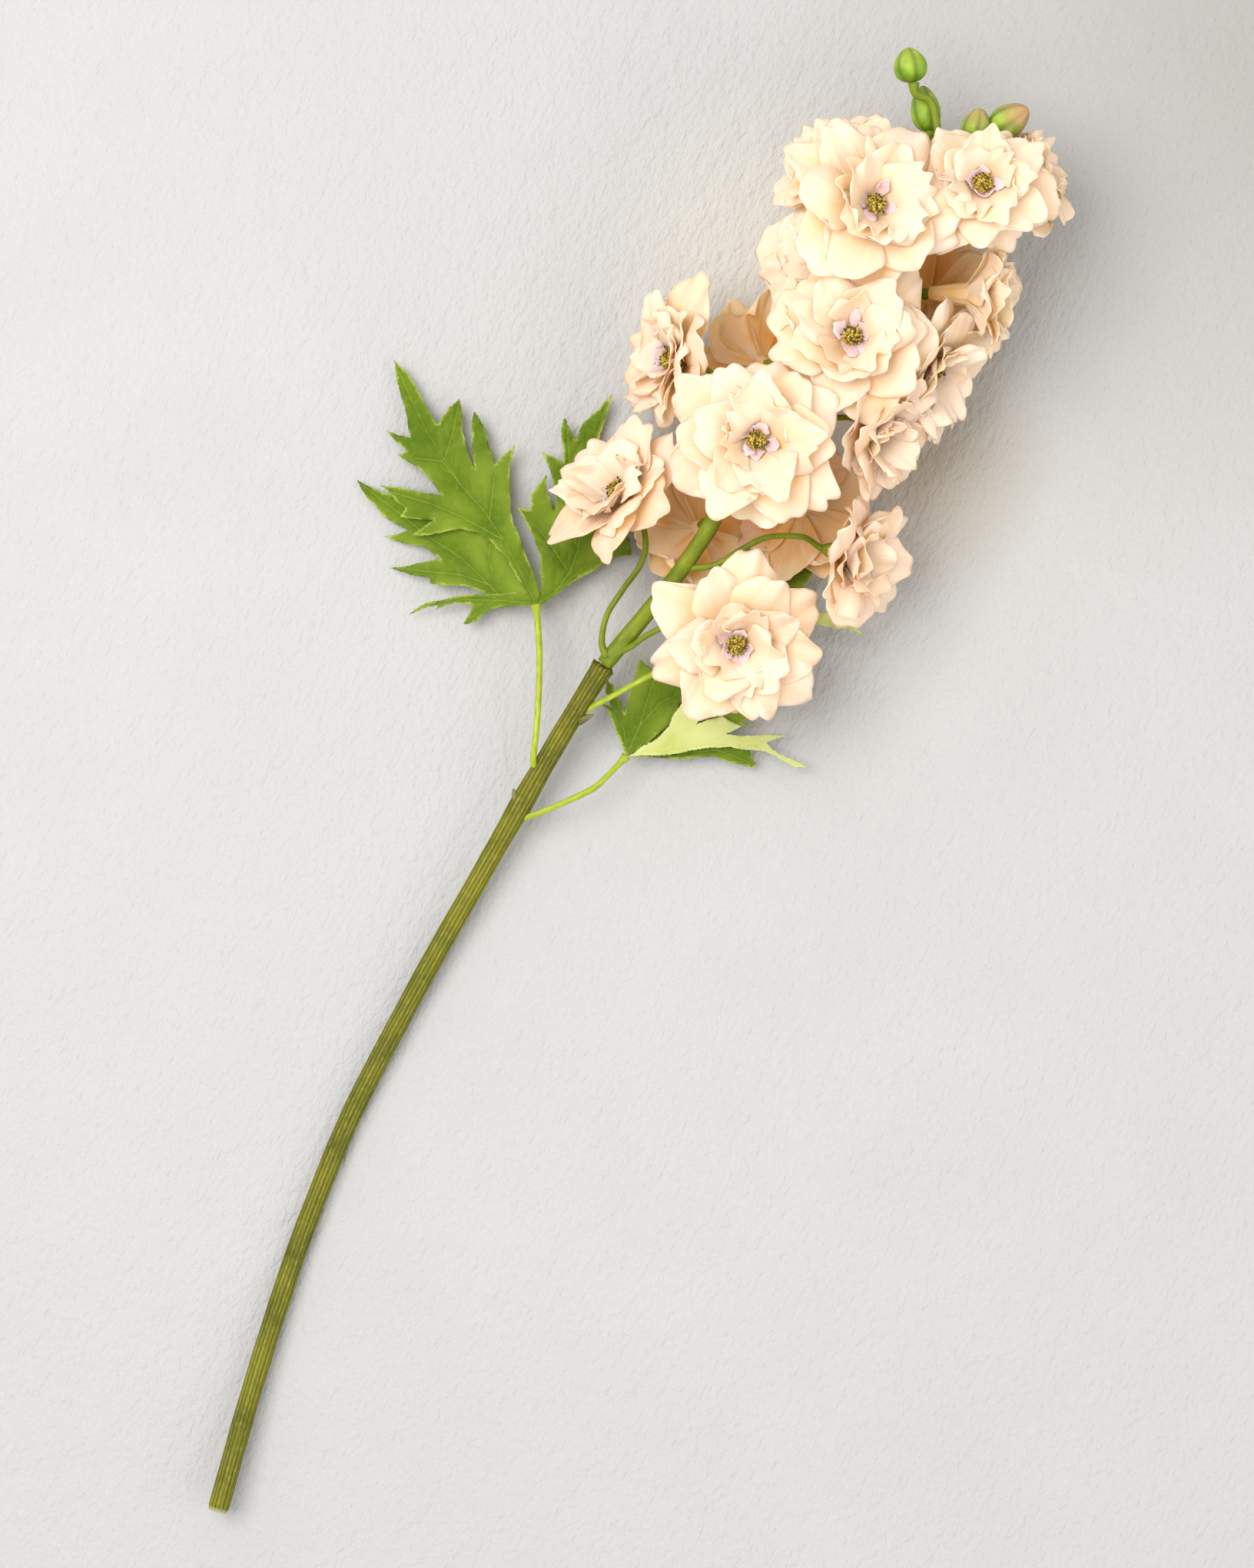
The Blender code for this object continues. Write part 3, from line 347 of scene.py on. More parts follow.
class Finish:
    """A material in the making."""

    def __init__(self, name, roughness, shine=0.5):
        self.material = bpy.data.materials.new(name)
        self.material.use_nodes = True
        self.tree = self.material.node_tree
        self.shader = self.tree.nodes["Principled BSDF"]
        self.set("Roughness", roughness)
        self.set("Specular IOR Level", shine)

    def node(self, kind, settings=None, values=None, output=0):
        """Any node: its settings first, then the values or links of its sockets."""
        made = self.tree.nodes.new("ShaderNode" + kind)
        for setting, value in (settings or {}).items():
            setattr(made, setting, value)
        for socket, value in (values or {}).items():
            self.fill(made.inputs[socket], value)
        return Value(self, made.outputs[output])

    def fill(self, socket, value):
        if isinstance(value, Value):
            self.tree.links.new(value.socket, socket)
        elif isinstance(value, tuple) and socket.type == "RGBA":
            socket.default_value = (*value, 1.0)
        else:
            socket.default_value = value

    def set(self, socket, value):
        self.fill(self.shader.inputs[socket], value)

    def blend(self, share, first, second, kind="MIX"):
        """A colour between two, or the first one treated by the second."""
        return self.node(
            "Mix", {"data_type": "RGBA", "blend_type": kind}, {0: share, 6: first, 7: second}, 2)

    def ramp(self, share, *stops):
        """A colour that goes through these stops, the first and the last of them given first."""
        made = self.node("ValToRGB", None, {0: share})
        elements = made.socket.node.color_ramp.elements
        for number, (where, colour) in enumerate(stops):
            stop = elements[number] if number < 2 else elements.new(where)
            stop.position = where
            stop.color = (*colour, 1.0)
        return made

    def spread(self, stretch=(1.0, 1.0, 1.0), uv=None):
        """Object coordinates, or the named UV map, stretched."""
        if uv:
            where = self.node("UVMap", {"uv_map": uv})
        else:
            where = self.node("TexCoord", output=3)
        return self.node("VectorMath", {"operation": "MULTIPLY"}, {0: where, 1: stretch})

    def noise(self, scale, detail=3.0, where=None, roughness=0.5):
        return self.node("TexNoise", None, {
            "Vector": where or self.spread(), "Scale": scale, "Detail": detail, "Roughness": roughness})

    def streaks(self, stretch, uv="round", detail=3.0):
        """Noise drawn out along a piece."""
        return self.noise(1.0, detail, self.spread((*stretch, 1.0), uv))

    def weave(self, way):
        return self.node("TexWave", {"bands_direction": way}, {0: self.spread(), "Scale": WEAVE_SCALE})

    def tones(self, count):
        """The first channels of the piece's own tone attribute."""
        return [self.node("SeparateColor", None, {
            0: self.node("Attribute", {"attribute_name": "tone"})}, channel) for channel in range(count)]

    def done(self, colour, height, distance, strength, roughness=None):
        """The material with its colour and its bumps, and its uneven roughness where it has one."""
        self.set("Base Color", colour)
        if roughness:
            self.set("Roughness", roughness)
        self.set("Normal", self.node("Bump", None, {
            "Strength": strength, "Distance": distance, "Height": height}))
        return self.material

    def see_through(self, colour, share):
        """Lets some light through, as thin cloth does."""
        through = self.node("BsdfTranslucent", None, {"Color": colour})
        both = self.node("MixShader", None, {0: share, 2: through})
        self.tree.links.new(self.shader.outputs[0], both.socket.node.inputs[1])
        self.tree.links.new(both.socket, self.tree.nodes["Material Output"].inputs["Surface"])


def petal_finish():
    """Cream cloth: peach in the depth, partly its own tone and partly painted warm shade; near white at the
    rim, with a painted highlight on the side edges; painted light and shade on the folds; a blush on some
    petals, fine streaks.
    """
    finish = Finish("petal_cloth", roughness=0.8, shine=0.2)
    reach, blush, own = finish.tones(3)
    patches = finish.noise(62.0, 2.0)
    clouds = finish.noise(130.0)
    streaks = finish.streaks((26.0, 2.2), "petal")
    # reach carries the petal's tone, with its painted warm shade, painted highlight and painted fold
    # shading.
    along = reach + (patches - 0.5) * 0.5 + (clouds - 0.5) * 0.3 + (own - 0.5) * 0.3
    cream = finish.ramp(
        along, (0.0, (0.93, 0.49, 0.12)), (1.0, (0.985, 0.952, 0.93)), (0.15, (0.96, 0.66, 0.30)),
        (0.34, (0.98, 0.82, 0.59)), (0.60, (0.985, 0.91, 0.80)))
    pink = finish.blend(blush * clouds.between(0.25, 0.5), cream, (0.97, 0.67, 0.55))
    streaked = finish.blend(streaks.between(0.4, 0.8) * 0.2, pink, (0.96, 0.77, 0.52))
    finish.see_through((1.0, 0.81, 0.44), 0.51)
    return finish.done(streaked, streaks + finish.noise(900.0, 2.0) * 0.2, 0.45 * MM, 0.8)


def lilac_finish():
    """Lilac cloth, warmer towards its root."""
    finish = Finish("lilac_cloth", roughness=0.8, shine=0.2)
    patches = finish.noise(260.0, 2.0)
    along = finish.tones(1)[0] + (patches - 0.5) * 0.6
    lilac = finish.ramp(
        along, (0.0, (0.90, 0.72, 0.56)), (1.0, (0.93, 0.85, 0.83)), (0.5, (0.82, 0.66, 0.70)))
    finish.see_through((0.90, 0.70, 0.74), 0.45)
    return finish.done(lilac, patches, 0.15 * MM, 0.4)


def gold_finish():
    """Golden anthers in patches of light and dark, with brown grains."""
    finish = Finish("stamen_gold", roughness=0.6)
    grain = finish.noise(900.0)
    patches = finish.noise(330.0, 1.0)
    gold = finish.blend(patches.between(0.35, 0.65), (0.26, 0.17, 0.008), (0.60, 0.45, 0.07))
    grainy = finish.blend(grain.between(0.5, 0.75) * 0.6, gold, (0.13, 0.07, 0.006))
    return finish.done(grainy, grain, 0.15 * MM, 0.8)


def speck_finish():
    finish = Finish("stamen_speck", roughness=0.5)
    finish.set("Base Color", finish.blend(finish.noise(700.0), (0.006, 0.005, 0.004), (0.05, 0.03, 0.012)))
    return finish.material


def stem_finish():
    """Ribbed olive plastic: brown painted shade in the grooves, so the ribs read lighter; mottled along its
    length.
    """
    finish = Finish("stem_skin", roughness=0.6, shine=0.18)
    groove, pale_end = finish.tones(2)
    fibres = finish.streaks((34.0, 60.0), detail=4.0)
    green = finish.blend(finish.noise(55.0).between(0.3, 0.7), (0.073, 0.086, 0.002), (0.194, 0.194, 0.01))
    worn = finish.blend(fibres.between(0.5, 0.72) * 0.55, green, (0.361, 0.335, 0.052))
    # Painted shade: brown in the grooves between the ribs.
    brown = finish.blend(groove * 0.85, worn, (0.043, 0.033, 0.002))
    cut = finish.blend(pale_end, brown, (0.447, 0.43, 0.292))
    return finish.done(
        cut, fibres + groove * -0.5, 0.25 * MM, 0.7, fibres.between(0.2, 0.8) * 0.25 + 0.42)


def axis_finish():
    """Smooth green plastic with a soft sheen and faint lengthwise streaks."""
    finish = Finish("axis_skin", roughness=0.5, shine=0.22)
    streaks = finish.streaks((9.0, 34.0))
    patches = finish.noise(60.0, 4.0)
    green = finish.blend(patches.between(0.3, 0.7), (0.094, 0.14, 0.004), (0.197, 0.246, 0.013))
    streaked = finish.blend(streaks.between(0.5, 0.75) * 0.5, green, (0.288, 0.333, 0.038))
    return finish.done(
        streaked, streaks + finish.noise(420.0) * 0.5, 0.2 * MM, 0.6, patches * 0.3 + 0.36)


def petiole_finish():
    """Streaked yellow-green plastic with a few brown patches."""
    finish = Finish("petiole_skin", roughness=0.45, shine=0.35)
    streaks = finish.streaks((5.0, 40.0))
    green = finish.blend(streaks.between(0.3, 0.7), (0.198, 0.275, 0.005), (0.361, 0.421, 0.022))
    brown = finish.noise(45.0).between(0.55, 0.7) * 0.4
    return finish.done(finish.blend(brown, green, (0.292, 0.224, 0.043)), streaks, 0.15 * MM, 0.5)


def leaf_finish(name, blade, dark, light, vein, through):
    """Printed leaf cloth: veins and frayed rims lighter, mottled between, broad zones of painted light and
    shade with painted shade beside the main veins, and a fine weave.
    """
    finish = Finish(name, roughness=0.75, shine=0.2)
    veins, rim, shade = finish.tones(3)
    grain = finish.noise(420.0)
    mottled = finish.blend(finish.noise(48.0, 4.0).between(0.3, 0.7), dark, blade)
    # Painted light on broad zones where the shade tone is high, painted shade where it is low.
    lit = finish.blend(shade * 0.85, mottled, light)
    speckled = finish.blend(grain.between(0.5, 0.8) * 0.3, lit, light)
    veined = finish.blend(veins * 0.4, speckled, vein)
    frayed = rim * finish.noise(95.0, 2.0).between(0.42, 0.56)
    finish.see_through(through, 0.22)
    weave = finish.weave("X") + finish.weave("Y")
    return finish.done(finish.blend(frayed, veined, vein), grain + weave * 0.35, 0.15 * MM, 0.5)


def bud_finish():
    """Green skin with painted shade in the furrows, and reddish at some tips."""
    finish = Finish("bud_skin", roughness=0.5, shine=0.35)
    furrow, tip = finish.tones(2)
    patches = finish.noise(150.0)
    green = finish.blend(patches.between(0.3, 0.7), (0.129, 0.241, 0.007), (0.292, 0.447, 0.03))
    # Painted shade: darker green in the furrows.
    furrowed = finish.blend(furrow * 0.7, green, (0.06, 0.12, 0.009))
    tinged = finish.blend(tip * patches.between(0.1, 0.45), furrowed, (0.43, 0.206, 0.129))
    return finish.done(tinged, finish.noise(500.0), 0.15 * MM, 0.5)


def table_finish():
    """Pale plaster: small soft bumps, a faint mottle, and broad patches of painted light and shade."""
    finish = Finish("pale_table", roughness=0.9, shine=0.2)
    where = finish.spread((1.0, 0.55, 1.0))
    fine = finish.noise(420.0, 3.0, where, roughness=0.6)
    bumps = finish.noise(120.0, 4.0, where, roughness=0.6)
    pale = finish.blend(finish.noise(14.0), (0.396, 0.398, 0.398), (0.424, 0.427, 0.429))
    # Each patch tints the plaster with painted shade or painted light, full near its place and gone further
    # off.
    for spot, full, gone, tint in PAINTED_TABLE_SHADING:
        away = finish.node("VectorMath", {"operation": "DISTANCE"}, {
            0: finish.spread(), 1: tuple(place(*spot))}, 1)
        patch = finish.blend(away.between(full, gone), tint, (1.0, 1.0, 1.0))
        pale = finish.blend(1.0, pale, patch, "MULTIPLY")
    return finish.done(pale, bumps + fine * 0.7, 2.2 * MM, 0.7)


def turned(right, up):
    """A direction or an offset in the picture, in the object's own frame."""
    cos, sin = math.cos(LEAN), math.sin(LEAN)
    return Vector((right * cos - up * sin, right * sin + up * cos))


def place(x, y, height):
    """The point that is seen at (x, y) in the picture and lies at this height in mm."""
    nearer = (EYE_HEIGHT - height) / EYE_HEIGHT
    right = (x - PICTURE_MIDDLE[0]) / PIXELS_PER_MM * nearer
    up = (PICTURE_MIDDLE[1] - y) / PIXELS_PER_MM * nearer
    flat = turned(right, up) - ORIGIN_OFFSET
    return Vector((flat.x, flat.y, height)) * MM


def places(listed):
    return [place(*spot) for spot in listed]


def direction(right, up, towards):
    flat = turned(right, up)
    return Vector((flat.x, flat.y, towards)).normalized()


def smooth_route(points, spacing):
    """Points about this far apart on a smooth curve through the given ones."""
    ends = [2 * points[0] - points[1], *points, 2 * points[-1] - points[-2]]
    route = []
    for before, start, end, after in zip(ends, ends[1:], ends[2:], ends[3:]):
        steps = max(1, round((end - start).length / spacing))
        for step in range(steps):
            t = step / steps
            route.append(0.5 * (
                2 * start + (end - before) * t + (2 * before - 5 * start + 4 * end - after) * t ** 2
                + (3 * start - before - 3 * end + after) * t ** 3))
    route.append(points[-1].copy())
    return route


def lengths_along(route):
    """How far along a route each of its points lies."""
    return np.concatenate([[0], np.cumsum([(end - start).length for start, end in zip(route, route[1:])])])


def hump(gap, reach):
    """1 where there is no gap, falling softly to 0 past this reach."""
    return np.exp(-(gap / reach) ** 2)


def ribs(angles, count, turn=0.0):
    """0 to 1 and back, this many times round a rod."""
    return 0.5 - 0.5 * np.cos(count * angles + turn)


def ramp_up(value, low, high):
    """0 up to low, 1 from high, and a straight line between them."""
    return np.clip((value - low) / (high - low), 0, 1)


def new_piece(name, points, faces, finishes, tones=None, uv=None):
    """A mesh piece at the origin, with its tones and its named UV map."""
    mesh = bpy.data.meshes.new(name)
    mesh.from_pydata([tuple(point) for point in points], [], faces)
    for finish in finishes:
        mesh.materials.append(finish)
    if tones is not None:
        layer = mesh.color_attributes.new("tone", "FLOAT_COLOR", "POINT")
        values = np.ones((len(points), 4), np.float32)
        values[:, :3] = tones
        layer.data.foreach_set("color", values.ravel())
    if uv is not None:
        map_name, spread = uv
        corners = np.empty(len(mesh.loops), np.int32)
        mesh.loops.foreach_get("vertex_index", corners)
        layer = mesh.uv_layers.new(name=map_name)
        layer.data.foreach_set("uv", np.asarray(spread, np.float32)[corners].ravel())
    mesh.shade_smooth()
    piece = bpy.data.objects.new(name, mesh)
    bpy.context.scene.collection.objects.link(piece)
    return piece


def select(pieces):
    bpy.ops.object.select_all(action="DESELECT")
    for piece in pieces:
        piece.select_set(True)
    bpy.context.view_layer.objects.active = pieces[0]


def thickened(piece, thickness, other_side=0):
    """Gives a sheet its thickness, with the other side's finish that many slots further on."""
    select([piece])
    wall = piece.modifiers.new("Wall", "SOLIDIFY")
    wall.thickness = thickness
    wall.offset = 0.0
    wall.material_offset = other_side
    bpy.ops.object.modifier_apply(modifier=wall.name)
    return piece


def joined(pieces, name):
    select(pieces)
    if len(pieces) > 1:
        bpy.ops.object.join()
    pieces[0].name = name
    pieces[0].data.name = name
    return pieces[0]


def stand_for(piece, slot, *nodes):
    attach(piece, "root")
    if nodes:
        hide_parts(*nodes)


def side_by_side(*channels):
    """Numbers and rows of numbers as the columns of one array."""
    return np.stack(np.broadcast_arrays(*channels), axis=1)


class Sheets:
    """Many copies of one grid of faces, gathered into one piece."""

    def __init__(self, grid):
        self.grid = grid
        self.points, self.faces, self.tones, self.uv = [], [], [], []

    def add(self, points, *tone):
        start = len(self.points) * len(points)
        self.points.append(points)
        self.faces += [tuple(corner + start for corner in face) for face in self.grid]
        if tone:
            self.tones.append(side_by_side(*tone))

    def piece(self, name, finish):
        return new_piece(
            name, np.concatenate(self.points), self.faces, [finish],
            np.concatenate(self.tones) if self.tones else None,
            ("petal", np.concatenate(self.uv)) if self.uv else None)


def frames_along(route):
    """For each point of a route: the point and two directions across it, turning as little as they can."""
    found = []
    across = None
    for index, point in enumerate(route):
        before = route[max(index - 1, 0)]
        after = route[min(index + 1, len(route) - 1)]
        along = (after - before).normalized()
        if across is None:
            across = along.orthogonal().normalized()
        across = (across - along * across.dot(along)).normalized()
        found.append((point, across, along.cross(across)))
    return found


def plain_tone(angles, gone):
    return 0.0, 0.0, 0.0


def no_shift(angles, gone):
    return 0.0 * angles


def rod(name, route, radius_at, sides, finish, tone_at=plain_tone, shift_at=no_shift, uv_map="round"):
    """A closed rod along a route. The _at functions take the angles round it and the length so far."""
    angles = np.arange(sides) * 2 * math.pi / sides
    circle = np.stack([np.cos(angles), np.sin(angles)], axis=1)
    points, tones, uv = [], [], []
    for (point, across, other), gone in zip(frames_along(route), lengths_along(route)):
        radius = radius_at(angles, gone) * np.ones(sides)
        ring = np.array(point) + radius[:, None] * (circle @ np.array([across, other]))
        points.append(ring + shift_at(angles, gone)[:, None] * np.array(across.cross(other)))
        tones.append(side_by_side(*tone_at(angles, gone), angles)[:, :3])
        uv.append(side_by_side(angles / (2 * math.pi), gone * UV_PER_METRE))
    rings = len(points)
    faces = []
    for start in range(0, (rings - 1) * sides, sides):
        for side in range(sides):
            after = (side + 1) % sides
            faces.append((start + side, start + after, start + sides + after, start + sides + side))
    first, last = rings * sides, rings * sides + 1
    points = np.concatenate([*points, [points[0].mean(axis=0)], [points[-1].mean(axis=0)]])
    tones = np.concatenate([*tones, [tones[0].mean(axis=0)], [tones[-1].mean(axis=0)]])
    uv = np.concatenate([*uv, [[0.5, 0.0]], [[0.5, gone * UV_PER_METRE]]])
    for side in range(sides):
        after = (side + 1) % sides
        faces.append((first, after, side))
        faces.append((last, (rings - 1) * sides + side, (rings - 1) * sides + after))
    return new_piece(name, points, faces, [finish], tones, (uv_map, uv))


def turned_on_axis(name, base, profile, sides, finish, narrowed, **more):
    """A rod up a bloom's own axis through these (radius, height) pairs."""
    route = [base @ Vector((0, 0, up)) for _, up in profile]
    lengths = lengths_along(route)
    radii = [radius for radius, _ in profile]

    def radius_at(angles, gone):
        return np.interp(gone, lengths, radii) * narrowed(angles, gone)

    return rod(name, route, radius_at, sides, finish, **more)


def bloom_matrix(name):
    """A bloom's frame: its origin at the top of its core, +Z the way that it faces."""
    x, y, height, facing = BLOOMS[name][:4]
    turn = direction(*facing).to_track_quat("Z", "Y").to_matrix().to_4x4()
    return Matrix.Translation(place(x, y, height)) @ turn


def bloom_radius(name):
    return BLOOMS[name][4] * MM


def axis_point(y):
    """The point of the flower axis at this y."""
    route = places(AXIS_ROUTE)
    for start, end in zip(route, route[1:]):
        if start.y <= y <= end.y:
            return start.lerp(end, (y - start.y) / (end.y - start.y))
    return route[0] if y < route[0].y else route[-1]


def limits(name):
    """The planes that a bloom stays behind, as (outward direction, distance from the bloom's centre)."""
    centre = bloom_matrix(name).translation
    radius = bloom_radius(name)
    planes = []
    for other in BLOOMS:
        if other == name:
            continue
        apart = bloom_matrix(other).translation - centre
        share = radius / (radius + bloom_radius(other))
        planes.append((apart.normalized(), apart.length * share + OVERLAP))
    for along in (-1, 0, 1):
        to_axis = axis_point(centre.y + along * radius * AXIS_WATCH) - centre
        planes.append((to_axis.normalized(), to_axis.length - AXIS_RADIUS - CLEARANCE))
    for base, tip, bud_radius in BUDS.values():
        to_bud = (place(*base) + place(*tip)) / 2 - centre
        planes.append((to_bud.normalized(), to_bud.length - bud_radius * MM - CLEARANCE))
    floor = FLOOR_UNDER.get(name, TABLE_GAP)
    planes.append((Vector((0, 0, -1)), centre.z - floor))
    return np.array(centre), [(np.array(outward), limit) for outward, limit in planes]


def held_back(points, centre, planes, layer):
    """The points eased back behind each plane, so that petals bend where blooms press on each other."""
    for outward, limit in planes:
        reach = (points - centre) @ outward
        limit = limit - layer * LAYER_GAP
        start = limit * FREE_SHARE
        room = max((limit - start) * PRESS, LEAST_ROOM)
        eased = start + room * (1 - np.exp(-np.maximum(reach - start, 0.0) / room))
        points = points + np.where(reach > start, eased - reach, 0.0)[:, None] * outward
    for _ in range(HOLD_PASSES):
        for outward, limit in planes:
            over = np.maximum((points - centre) @ outward - (limit - layer * LAYER_GAP), 0.0)
            points = points - over[:, None] * outward
    return points


def sheet_grid(columns, rows):
    """Places across (-1 to 1) and along (0 to 1) a petal, and its faces."""
    across, along = np.meshgrid(
        np.linspace(-1, 1, columns + 1), np.linspace(0, 1, rows + 1) ** ROW_CROWDING)
    faces = []
    for row in range(rows):
        for column in range(columns):
            corner = row * (columns + 1) + column
            faces.append((corner, corner + 1, corner + columns + 2, corner + columns + 1))
    return across.ravel(), along.ravel(), faces


def petal_shape(whorl, radius, opening, draw):
    """One petal's own size, bend, folds and rim, drawn apart from its whorl's."""
    vary = draw.uniform
    start = min(whorl["rise"][0] + opening[0], STEEPEST_ROOT)
    end = min(whorl["rise"][1] + opening[1], STEEPEST_TIP)
    return {
        "length": whorl["length"] * radius * vary(0.82, 1.10),
        "width": whorl["width"] * radius * vary(0.88, 1.10),
        "start": math.radians(start + vary(-7, 7)),
        "end": math.radians(end + vary(-18, 16)),
        "tilt": vary(0.04, 0.26),
        "cup": whorl["cup"] * vary(0.5, 1.5),
        "root": (whorl["root"][0] * MM, whorl["root"][1] * MM),
        "rounding": vary(0.36, 0.52),
        "point": vary(-0.04, 0.06),
        "skew": vary(-0.10, 0.10),
        "puff": vary(-0.02, 0.13),
        "lobes": (vary(0.04, 0.12), vary(1.2, 2.6), vary(0, 1)),
        "fold": (whorl["fold"] * vary(0.7, 2.3), vary(0.5, 1.2), vary(0, 1)),
        "ruffle": (whorl["ruffle"] * vary(0.8, 2.2), vary(1.4, 3.2), vary(0, 1)),
        "curl": whorl["curl"] * vary(0.0, 2.0) + vary(-0.04, 0.03),
        "roll": vary(-0.9, 0.9),
    }


def lilac_shape(draw):
    """One lilac petal's own shape."""
    vary = draw.uniform
    return {
        "length": LILAC_LENGTH * vary(0.55, 1.15), "width": vary(2.4, 4.6) * MM,
        "cup": vary(0.1, 0.9), "point": 0.0, "tilt": vary(-0.15, 0.15),
        "start": math.radians(vary(5, 25)), "end": math.radians(vary(45, 80)),
        "root": LILAC_ROOT, "rounding": 0.45, "skew": vary(-0.2, 0.2),
        "puff": vary(-0.05, 0.12), "lobes": (0.06, 1.5, draw.random()),
        "fold": (0.08, 0.8, draw.random()), "ruffle": (0.06, 1.6, draw.random()),
        "curl": vary(-0.2, 0.1), "roll": vary(-0.9, 0.9),
    }


def wave(across, count, phase):
    return np.sin(2 * math.pi * (across * count / 2 + phase))


def petal_points(shape, across, along):
    """A petal's middle surface before its turn round the bloom: +X outwards, +Z the bloom's axis."""
    spread = ramp_up(along, 0, WIDEST_AT)
    width = CLAW + (1 - CLAW) * spread ** 1.2 * (2.2 - 1.2 * spread)
    width = np.minimum(width, 1.0) * (1 - TIP_NARROWING * ramp_up(along, TIP_FROM, 1) ** 2)
    depth, count, phase = shape["lobes"]
    lobes = depth * (np.abs(np.cos(math.pi * (across * count / 2 + phase))) - 0.64)
    lobes = lobes + shape["point"] * (1 - np.abs(across)) ** 2
    rounding = shape["rounding"] * (1 - np.sqrt(1 - 0.97 * across ** 2)) + shape["skew"] * across
    reach = along * (1 - rounding * along ** 1.6) + along ** 6 * lobes
    bend = shape["end"] - shape["start"]
    bend = bend if abs(bend) > LEAST_BEND else LEAST_BEND
    angle = shape["start"] + bend * reach
    length = shape["length"]
    out = shape["root"][0] + length * (np.sin(angle) - math.sin(shape["start"])) / bend
    up = shape["root"][1] - length * (np.cos(angle) - math.cos(shape["start"])) / bend
    side = across * shape["width"] * width * (1 + 0.5 * lobes * along ** 4)
    fold, *folds = shape["fold"]
    ruffle, *ruffles = shape["ruffle"]
    lift = shape["cup"] * np.abs(side) * np.abs(across) + shape["tilt"] * side * reach
    lift = lift + length * shape["puff"] * np.sin(math.pi * along) * (1 - across ** 2)
    lift = lift + length * fold * wave(across, *folds) * along ** 1.5
    lift = lift + length * ruffle * wave(across, *ruffles) * along ** 4
    lift = lift + length * CRIMP * wave(across, CRIMP_COUNT, ruffles[1] + 0.3) * along * (1 - 0.5 * along)
    lift = lift + length * shape["curl"] * (1 + shape["roll"] * across) * along ** 4
    return np.stack([out - lift * np.sin(angle), side, up + lift * np.cos(angle)], axis=1)


def rotated(points, matrix):
    turn = np.array(matrix)
    return points @ turn[:3, :3].T + turn[:3, 3]


def bloom_petals(name, index, finish):
    """A bloom's whorls of petals on their throat, in one piece."""
    base = bloom_matrix(name)
    radius = bloom_radius(name)
    opening, blush = BLOOMS[name][5:]
    centre, planes = limits(name)
    across, along, grid = sheet_grid(PETAL_COLUMNS, PETAL_ROWS)
    # Closing blooms are painted paler: partly painted light on their steeper, shaded petals, partly more of
    # their pale length showing.
    paleness = PALE_CLOSED if opening[0] > CLOSED_FROM else PALE_OPEN
    # Blooms pressed under the spike get painted shade.
    shaded = PRESSED_SHADE if name in PRESSED_BLOOMS else 1.0
    petals = Sheets(grid)
    for layer, whorl in enumerate(WHORLS):
        for number in range(whorl["count"]):
            draw = random.Random(1000 * index + 20 * layer + number)
            turn = math.radians(
                whorl["turn"] + BLOOM_TURN * index + 360 * number / whorl["count"] + draw.uniform(-8, 8))
            shape = petal_shape(whorl, radius, opening, draw)
            petal = rotated(petal_points(shape, across, along), base @ Matrix.Rotation(turn, 4, "Z"))
            # The tone: peach at the root, partly the cloth's own and partly painted warm shade under the
            # next whorl; a painted highlight on the side rims; painted light and shade that follow the folds
            # and ruffles.
            rim = np.abs(across) ** 3 * 0.2 * along
            pale = along ** whorl["depth"] * 0.78 + rim + paleness
            pale = pale + 0.16 * along * wave(across, *shape["fold"][1:])
            pale = pale + 0.10 * along ** 3 * wave(across, *shape["ruffle"][1:])
            petals.add(held_back(petal, centre, planes, layer + 0.2 * number),
                       pale * shaded, blush * draw.uniform(0, 1.8) * along ** 2, draw.random())
            petals.uv.append(np.stack([across + 3.1 * number, along + 1.7 * layer], axis=1))
    sheet = thickened(petals.piece(f"petals_{name}", finish), PETAL_THICKNESS)
    return joined([sheet, funnel(name, base, finish)], f"petals_{name}")


def core_depth(name):
    return LONG_THROATS.get(name, CORE_DEPTH)


def funnel(name, base, finish):
    """The ribbed throat in which a bloom's petals meet."""
    deep = core_depth(name)
    profile = [(CORE_FOOT_RADIUS * 0.7, -deep), (CORE_FOOT_RADIUS, -deep + 0.5 * MM),
               (3.3 * MM, -deep * 0.72), (4.2 * MM, -deep * 0.45), (5.0 * MM, -deep * 0.17),
               (CORE_RADIUS, 0.0), (4.4 * MM, 0.2 * MM)]

    def narrowed(angles, gone):
        return 1 + 0.06 * np.cos(THROAT_RIBS * angles)

    # Deeper peach towards the throat's foot: partly the cloth's own tone, partly painted warm shade deep in
    # the bloom.
    def tone_at(angles, gone):
        return 0.15 + 0.2 * gone / deep, 0.0, 0.5

    return turned_on_axis(
        f"throat_{name}", base, profile, 40, finish, narrowed, tone_at=tone_at, uv_map="petal")


def calyx(name, finish):
    """The green cup with five points in which a bloom's throat sits."""
    foot = -core_depth(name)
    profile = [(1.5 * MM, foot - 3.2 * MM), (2.4 * MM, foot - 1.8 * MM), (3.0 * MM, foot + 0.3 * MM),
               (3.4 * MM, foot + 1.6 * MM), (3.7 * MM, foot + 2.8 * MM)]
    whole = profile[-1][1] - profile[0][1]

    def narrowed(angles, gone):
        return 1 - 0.16 * (gone / whole) ** 2 * ribs(angles, CALYX_POINTS)

    def shift_at(angles, gone):
        return -(gone / whole) ** 2 * ribs(angles, CALYX_POINTS) * CALYX_NOTCH

    return turned_on_axis(
        f"calyx_{name}", bloom_matrix(name), profile, 40, finish, narrowed, shift_at=shift_at)


